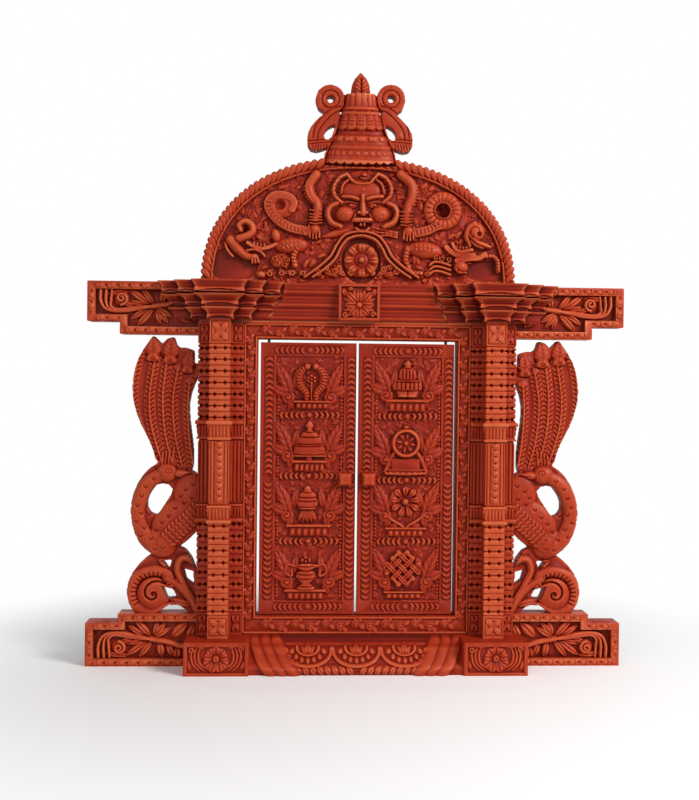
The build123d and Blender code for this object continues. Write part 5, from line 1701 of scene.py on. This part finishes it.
def carve_post(side):
    node = side + "_post"
    x, depth, z = room(node)
    column = room(side + "_front_column")[0]
    foot, head = z[0] + 7.0, z[1] - 7.0
    bulge = 2.0
    b = Blank((x[0] - bulge, x[1] + bulge), (foot, head), depth[1], 0.42)
    offset = band_offsets(b.z)
    outer_left = side == "left"
    left_out = offset if outer_left else np.minimum(offset, 0)
    right_out = np.minimum(offset, 0) if outer_left else offset
    b.wood = ((b.x > x[0] - left_out) & (b.x < x[1] + right_out)).astype(float)
    b.softness = 0.25
    b.height = depth[1] + offset
    carve_strip(b, (x[0], column[0]), False)
    carve_strip(b, (column[1], x[1]), False)
    b.round_edge(0.5)
    return carved_board(side + "_post_carving", b, depth[0], node, wood=painted_shade_post_wood, keep=0.36)


for side in ("left", "right"):
    carve_column(side)
    carve_post(side)

# %% [markdown]
# ## The inner frame
# Two jambs and two rails go round the opening. A vine runs along them between two beads, with a curl in
# each of its bends and leaves beside it. The mitred corners are the solid's.

# %% Jambs and rails


def carve_vine(b, start, end, size, face):
    """A running vine: a curl at each bend, now on one side and now on the other, with leaves between."""
    for i, (x, z, ahead) in enumerate(steps_along([start, end], 1.15 * size)):
        side = 1 if i % 2 else -1
        sine, cosine = math.sin(math.radians(ahead)), math.cos(math.radians(ahead))
        x0, z0 = x + 0.1 * side * size * cosine, z - 0.1 * side * size * sine
        b.mound(x0, z0, 0.66 * size, 0.66 * size, 1.7, 0, face)
        b.groove(spiral(x0, z0, 0.24 * size, side * 1.0, 90 - ahead), 0.8, 0.9)
        for lean, length in ((side * 62, 0.62), (side * -38, 0.66), (180 - side * 50, 0.5)):
            b.leaf(x0 + 0.2 * size * sine, z0 + 0.2 * size * cosine, length * size, 0.34 * size, 1.6,
                   ahead + lean, face, 0.3, 0.55, 0.7)


def carve_member(node, wood):
    x, depth, z = room(node)
    upright = z[1] - z[0] > x[1] - x[0]
    b = Blank(x, z, depth[1], 0.4)
    b.from_solid(node, 0.25)
    face = depth[1] - 1.5
    b.height[:] = face
    width = x[1] - x[0] if upright else z[1] - z[0]
    ends = z if upright else x

    def at(u, along):
        return (x[0] + u * width, along) if upright else (along, z[0] + u * width)

    reach = (ends[0] + 0.5, ends[1] - 0.5)
    for u in (0.08, 0.92):
        b.cord([at(u, reach[0]), at(u, reach[1])], 1.5, 1.5, face)
    for u in (0.19, 0.81):
        b.groove([at(u, reach[0]), at(u, reach[1])], 0.9, 0.5)
    inset = 0.9 * width
    carve_vine(b, at(0.5, ends[0] + inset), at(0.5, ends[1] - inset), 0.76 * width, face)
    b.round_edge(0.4)
    return carved_board(node + "_carving", b, depth[0], node, wood=wood, keep=0.42)


for node in ("left_jamb", "right_jamb"):
    carve_member(node, upright_wood)
for node in ("head_rail", "foot_rail"):
    carve_member(node, level_wood)

# %% [markdown]
# ## The beams
# The sill and the lintel run past the posts and end in stepped wings. Each wing has a border with a row of
# small petals and a sunk panel, in which three nested strands run past a coil among leaves.

# %% Sill and lintel
petal_pitch = 8.2


def border_petals(b, points, base):
    """Small round petals, each with a bowed stroke, along a border."""
    for x, z, ahead in steps_along(points, petal_pitch):
        back = math.radians(ahead)
        b.mound(x, z, 4.4, 5.6, 1.7, ahead, base - 0.5)
        b.crescent(x + 2.0 * math.sin(back), z + 2.0 * math.cos(back), 4.4, 1.8, 1.6, 2.2, ahead, base - 0.5)
        b.punch(x - 3.6 * math.sin(back), z - 3.6 * math.cos(back), 1.3, 0.9)


def wing_leaves(b, at, way, up, base):
    """The stem, split leaves and coil in a wing's panel. The panel is one wide and one high."""
    def lean(turn):
        return way * turn if up > 0 else 180 - way * turn

    for reach, width in ((0.0, 2.8), (0.05, 2.6), (0.1, 2.4)):
        b.cord(at((0.44, 0.66), (0.6, 0.8 - reach), (0.78, 0.9 - reach), (0.9 - 0.5 * reach, 0.78 - reach),
                  (0.95 - reach, 0.45), (0.95 - 1.1 * reach, 0.05)), width, 4.2, base)
    b.cord(at((0.02, 0.5), (0.14, 0.42), (0.28, 0.56), (0.44, 0.66)), 4.6, 4.0, base)
    coil = at((0.75, 0.36))[0]
    b.mound(*coil, 12.0, 12.0, 2.8, 0, base)
    b.cord(spiral(*coil, 5.0, way * up * 1.5, 90 * up), 2.8, 4.7, base)
    for u, v, turn, length, width in (
        (0.44, 0.74, 42, 19, 6.0), (0.49, 0.74, 58, 16, 5.0), (0.42, 0.7, -60, 15, 5.0),
        (0.41, 0.74, -38, 14, 5.0),
        (0.41, 0.76, -14, 12, 4.8), (0.24, 0.72, -46, 16, 8.4), (0.47, 0.62, 126, 20, 6.0),
        (0.43, 0.6, 142, 16, 5.4),
        (0.36, 0.56, 192, 12, 6.0), (0.28, 0.5, 206, 11, 6.0), (0.18, 0.4, 176, 10, 7.0),
        (0.08, 0.42, 190, 10, 6.0),
        (0.08, 0.6, -20, 13, 7.0), (0.66, 0.08, 84, 18, 5.0), (0.5, 0.62, 100, 15, 4.6),
        (0.6, 0.72, 108, 12, 4.6), ):
        b.leaf(*at((u, v))[0], length, width, 4.0, lean(turn), base, 0.35, 0.5, 0.7)


def carve_beam(node, up):
    """up is 1 for the sill, whose step is on top, and -1 for the lintel."""
    x, depth, z = room(node)
    b = Blank(x, z, depth[1], 0.45)
    b.from_solid(node, 0.35)
    floor = depth[1] - 5.0
    b.height = np.where(b.height < depth[1] - 0.5, floor, depth[1])
    border, step, thick = 5.5, 24.0, 33.0 if up > 0 else 30.0
    outer_z, step_z = (z[0], z[1]) if up > 0 else (z[1], z[0])
    wing_z = outer_z + up * thick
    inner = room("right_post")[0][1] + 0.4
    low_z, high_z = sorted((outer_z + up * border, step_z - up * border))
    hidden = (np.abs(b.x) > inner) & (np.abs(b.x) < x[1] - step - border) & (b.z > low_z) & (b.z < high_z)
    b.height[hidden] = floor
    for way in (-1, 1):
        def at(*places):
            return [
                (way * (inner + u * (x[1] - border - inner)),
                 outer_z + up * (border + v * (thick - 2 * border)))
                for u, v in places
            ]

        low, high = outer_z + up * border / 2, wing_z - up * border / 2
        top = step_z - up * border / 2
        end = x[1] - border / 2
        for line in (
            [(inner, low), (end - 3, low)], [(end, outer_z + up * 7), (end, wing_z - up * 7)],
            [(x[1] - step, high), (end - 3, high)], [(inner, top), (x[1] - step - 4, top)],
        ):
            border_petals(b, [(way * px, pz) for px, pz in line], depth[1] - 0.3)
        wing_leaves(b, at, way, up, floor)
        rim = [(inner, outer_z + up * (border - 0.6)), (x[1] - border + 0.6, outer_z + up * (border - 0.6)),
               (x[1] - border + 0.6, wing_z - up * (border - 0.6)),
               (x[1] - step - border + 0.6, wing_z - up * (border - 0.6))]
        for start, stop in zip(rim, rim[1:]):
            b.groove([(way * start[0], start[1]), (way * stop[0], stop[1])], 0.7, 0.4)
    b.round_edge(1.1)
    return carved_board(node + "_carving", b, depth[0], node, wood=beam_wood, keep=0.3)


carve_beam("sill_beam", 1)
carve_beam("lintel_beam", -1)
# %% [markdown]
# ## Pedestals and apron
# Each column stands on a block with a flower and curling leaves in a bordered field. Between the blocks
# the apron slopes forward from a smooth shelf to a row of arcs, each with a flame-shaped leaf and a
# string of beads, and a rope of slanting leaves closes its foot. Folds of cloth fall at both ends.

# %% Pedestals and apron


def carve_pedestal(side):
    node = side + "_pedestal"
    x, depth, z = room(node)
    b = Blank(x, z, depth[1], 0.36)
    field = (x[0] + 2.6, x[1] - 2.6), (z[0] + 2.4, z[1] - 3.0)
    base = depth[1] - 1.5
    b.sink(*field, -1.5)
    mid_x, mid_z = (x[0] + x[1]) / 2, z[0] + 0.52 * (z[1] - z[0])
    for way in (-1, 1):
        for i, (reach, height) in enumerate(((12.0, 8.2), (14.6, 8.6), (17.2, 8.8))):
            curve = [(mid_x + way * (reach - 7 + 1.0 * i), mid_z - height),
                     (mid_x + way * (reach - 0.6), mid_z - 0.45 * height),
                     (mid_x + way * (reach + 0.9), mid_z + 0.3 * height),
                     (mid_x + way * (reach - 0.6), mid_z + 0.95 * height)]
            b.cord(curve, 2.4, 1.7, base, taper=lambda t: 0.45 + 0.55 * np.sin(np.pi * np.clip(t, 0, 1)))
        b.cord(spiral(mid_x + way * 18.0, mid_z + 6.6, 2.3, way * 1.2, 0), 1.4, 1.8, base)
        b.leaf(mid_x + way * 18.6, mid_z - 8.6, 8.0, 3.2, 1.7, way * 14, base)
        b.leaf(mid_x + way * 8.0, mid_z + 8.4, 7.0, 3.2, 1.6, way * 84, base)
    for i in range(9):
        lean = 40 * i
        b.leaf(mid_x + 1.5 * math.sin(math.radians(lean)), mid_z + 1.5 * math.cos(math.radians(lean)),
               9.0 if 80 < lean < 280 else 7.6, 6.8, 2.3, lean, base, 0.5, 0.72, 0.5)
    b.mound(mid_x, mid_z, 5.0, 5.0, 2.7, 0, base)
    b.punch(mid_x, mid_z, 1.2, 1.5)
    b.round_edge(1.0)
    return carved_board(side + "_pedestal_carving", b, depth[0], node, keep=0.6)


def carve_apron():
    x, depth, z = room("apron")
    b = Blank(x, z, depth[1], 0.36)
    ramp_z, ramp_depth = (0.0, 5.2, 7.0, 12.0, 17.5, 19.5, 24.5), (41.2, 41.6, 40.0, 34.5, 29.0, 25.0, 20.0)
    b.height = np.interp(b.z, ramp_z, ramp_depth)
    b.height = soften(b.height, 0.7 / b.step[0])
    slope = b.height.copy()
    arcs, pitch, top = 3, 36.0, 19.0
    for i in range(arcs):
        mid = (i - (arcs - 1) / 2) * pitch
        for reach, width, rise in ((17.4, 2.6, 2.4), (8.2, 2.2, 2.2)):
            line = [(mid + reach * math.sin(a), top - 0.7 * reach * math.cos(a) ** 0.7)
                    for a in np.linspace(-1.5, 1.5, 13)]
            b.cord(line, width, rise, slope)
        beads = [(mid + 13.0 * math.sin(a), top - 9.0 * math.cos(a)) for a in np.linspace(-1.4, 1.4, 9)]
        for px, pz, ahead in steps_along(beads, 4.4):
            b.mound(px, pz, 4.2, 3.4, 2.2, ahead, slope)
        b.leaf(mid, top - 5.2, 7.0, 5.4, 2.8, 0, slope, 0.35, 0.4, 0.8)
        for way in (-1, 1):
            b.leaf(mid + way * 1.0, top - 5.0, 6.0, 3.4, 2.4, way * 42, slope, 0.3)
            b.leaf(mid + way * (0.5 * pitch - 1.2), 12.0, 7.0, 4.0, 2.2, way * 14, slope, 0.3)
    for way in (-1, 1):
        for i in range(3):
            start = way * (75.0 - 8.2 * i)
            curve = [(start + way * 1.5, 22.5 - 0.6 * i), (start - way * 1.0, 18.0),
                     (start - way * 4.0, 12.0), (start - way * 8.5, 6.0), (start - way * 12.5, 0.5)]
            b.cord(curve, 8.6, 3.2, slope)
        edge = [(way * 55.0, 19.5), (way * 53.0, 14.5), (way * 49.5, 9.5), (way * 45.0, 6.6)]
        for px, pz, ahead in steps_along(edge, 3.8):
            b.leaf(px, pz, 5.6, 3.2, 2.4, ahead + way * 40, slope, 0.3)
        for i in range(10):
            b.leaf(way * (2.6 + 5.4 * i), 0.6, 7.6, 5.0, 2.4, way * 38, slope, 0.35, 0.5, 0.7)
    b.cord([(x[0] + 1, 19.6), (0, 19.6), (x[1] - 1, 19.6)], 1.4, 0.8, slope)
    b.round_edge(0.6)
    return carved_board("apron_carving", b, depth[0], "apron", wood=level_wood, keep=0.5)


for side in ("left", "right"):
    carve_pedestal(side)
carve_apron()

# %% [markdown]
# ## Capitals, cornice and lotus block
# Three flaring tiers crown each column, stepping back twice at either side, and run on between them as the
# cornice. Each tier is a low band, scooped between its corners, under a hollow flare that ends in points. The
# square block at the middle carries an open lotus.

# %% Capitals, cornice and lotus block
tier_feet = (262.0, 271.63, 281.27)
tier_high = 8.23
tier_near, tier_far = (1.2, 4.6, 9.8), (5.9, 11.2, 13.0)
level_step, level_drop = 13.0, 8.6


def tier_offsets(z):
    """How far a capital stands out at each height: a low band and a hollow flare, tier by tier."""
    offset = np.full(z.shape, 3.4)
    for foot, near, far in zip(tier_feet, tier_near, tier_far):
        t = (z - foot) / tier_high
        flare = np.clip((t - 0.44) / 0.48, 0, 1)
        out = near + (far - near) * (0.16 + 0.84 * flare**1.6) - 0.5 * np.exp(-(((t - 0.43) / 0.05) ** 2))
        offset = np.where((t >= 0) & (t <= 1), out, offset)
    return offset


def carve_capital(side):
    node = side + "_capital"
    x, depth, z = room(node)
    column = room(side + "_front_column")
    b = Blank(x, z, depth[0] + 1.2, 0.34)
    offset = tier_offsets(b.z)
    away = np.abs(b.x - (x[0] + x[1]) / 2)
    inner = np.zeros(b.x.shape)
    b.wood = np.zeros(b.x.shape)
    for level in range(3):
        outer = (column[0][1] - column[0][0]) / 2 + level * level_step + offset
        front = np.maximum(column[1][1] - level * level_drop + offset, depth[0] + 1.2 + 0.6 * (2 - level))
        share = np.clip((away - inner) / (outer - inner) if level == 0 else 2
                        * (away - inner) / (outer - inner) - 1, -1, 1)
        for foot in tier_feet:
            above = b.z - foot
            scooped = (above >= 0) & (above < 1.9 * (1 - share**2))
            front = np.where(scooped, np.maximum(front - 1.8, depth[0] + 0.8), front)
        inside = (away >= inner) & (away < outer)
        b.height = np.where(inside, front, b.height)
        b.wood = np.where(inside, 1.0, b.wood)
        inner = outer
    b.softness = 0.25
    b.round_edge(0.3)
    return carved_board(node + "_carving", b, depth[0], node, wood=cornice_wood, keep=0.6)


def carve_cornice(side):
    node = side + "_cornice"
    x, depth, z = room(node)
    b = Blank(x, z, depth[0] + 2.0, 0.4)
    b.from_solid(node, 0.2)
    for foot in tier_feet:
        t = (b.z - foot) / tier_high
        inside = (t > 0) & (t < 1)
        swell = 0.9 * np.sin(np.pi * np.clip(t / 0.4, 0, 1)) - 0.8 * np.sin(np.pi
                * np.clip((t - 0.45) / 0.42, 0, 1))
        b.height += np.where(inside, swell - 0.9 * np.exp(-(((t - 0.42) / 0.06) ** 2)), 0)
    b.height = np.maximum(soften(b.height, 0.3 / b.step[0]), depth[0] + 0.5)
    return carved_board(node + "_carving", b, depth[0], node, wood=cornice_wood, keep=0.3)


def carve_lotus_block():
    x, depth, z = room("lotus_block")
    b = Blank(x, z, depth[1], 0.32)
    base = depth[1] - 2.4
    b.sink((x[0] + 2.0, x[1] - 2.0), (z[0] + 2.0, z[1] - 2.0), -2.4)
    mid_x, mid_z = (x[0] + x[1]) / 2, z[0] + 0.42 * (z[1] - z[0])
    for lean in (0, 45, -45, 90, -90, 135, -135, 180):
        b.leaf(mid_x, mid_z, 14.0 if abs(lean) == 45 else 11.0, 6.0, 3.0, lean, base, 0.4, 0.6, 0.6)
    for lean in (22, -22, 67, -67, 112, -112, 157, -157):
        b.leaf(mid_x, mid_z, 13.0, 3.0, 2.4, lean, base, 0.3, 0.6, 0.7)
    for way in (-1, 1):
        b.leaf(mid_x + way * 12.0, z[1] - 3.0, 7.0, 4.0, 2.6, way * 190, base, 0.3)
        b.leaf(mid_x + way * 4.0, z[1] - 3.2, 6.0, 3.4, 2.6, way * 100, base, 0.3)
        b.cord(spiral(mid_x + way * 10.5, z[0] + 4.5, 2.2, way * 1.2, 0), 1.5, 2.6, base)
    b.mound(mid_x, mid_z, 5.2, 5.2, 3.6, 0, base)
    b.round_edge(0.8)
    return carved_board("lotus_block_carving", b, depth[0], "lotus_block", keep=0.6)


for side in ("left", "right"):
    carve_capital(side)
    carve_cornice(side)
carve_lotus_block()

# %% [markdown]
# ## Knobs and pins
# A square knob on each leaf serves as the handle. The leaves turn on plain round pins at the top and the
# bottom, which stay as the solids are and are given dull, handled iron.

# %% Knobs and pins


def carve_knob(side):
    node = side + "_knob"
    x, depth, z = room(node)
    b = Blank(x, z, depth[1], 0.22)
    mid_x, mid_z = (x[0] + x[1]) / 2, (z[0] + z[1]) / 2
    half = (x[1] - x[0]) / 2
    u = np.maximum(np.abs(b.x - mid_x), np.abs(b.z - mid_z)) / half
    b.height = depth[1] - 2.2 * np.clip((u - 0.62) / 0.38, 0, 1)
    b.height = soften(b.height, 0.4 / b.step[0])
    b.round_edge(0.8)
    back = room(side + "_shutter")[1][1] - shutter_relief
    return carved_board(node + "_carving", b, back, node, side + "_leaf", keep=0.8)


for side in ("left", "right"):
    carve_knob(side)

iron = bpy.data.materials.new("handled_iron")
iron.use_nodes = True
tree = iron.node_tree
metal = tree.nodes["Principled BSDF"]
metal.inputs["Metallic"].default_value = 0.9
place = tree.nodes.new("ShaderNodeTexCoord")
mottle = tree.nodes.new("ShaderNodeTexNoise")
mottle.inputs["Scale"].default_value = 420.0
mottle.inputs["Detail"].default_value = 4.0
tone = tree.nodes.new("ShaderNodeValToRGB")
tone.color_ramp.elements[0].color = (0.028, 0.020, 0.016, 1.0)
tone.color_ramp.elements[1].color = (0.115, 0.090, 0.075, 1.0)
worn = tree.nodes.new("ShaderNodeMapRange")
worn.inputs["To Min"].default_value = 0.65
worn.inputs["To Max"].default_value = 0.38
tree.links.new(place.outputs["Object"], mottle.inputs["Vector"])
tree.links.new(mottle.outputs["Fac"], tone.inputs["Fac"])
tree.links.new(mottle.outputs["Fac"], worn.inputs["Value"])
tree.links.new(tone.outputs["Color"], metal.inputs["Base Color"])
tree.links.new(worn.outputs["Result"], metal.inputs["Roughness"])
for side in ("left", "right"):
    for pin in ("upper_pin", "lower_pin"):
        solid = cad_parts[side + "_" + pin].data
        solid.materials.clear()
        solid.materials.append(iron)
print("knobs carved, pins given", iron.name)


# %% Triangle count
print("triangles added", sum(made_triangles.values()))
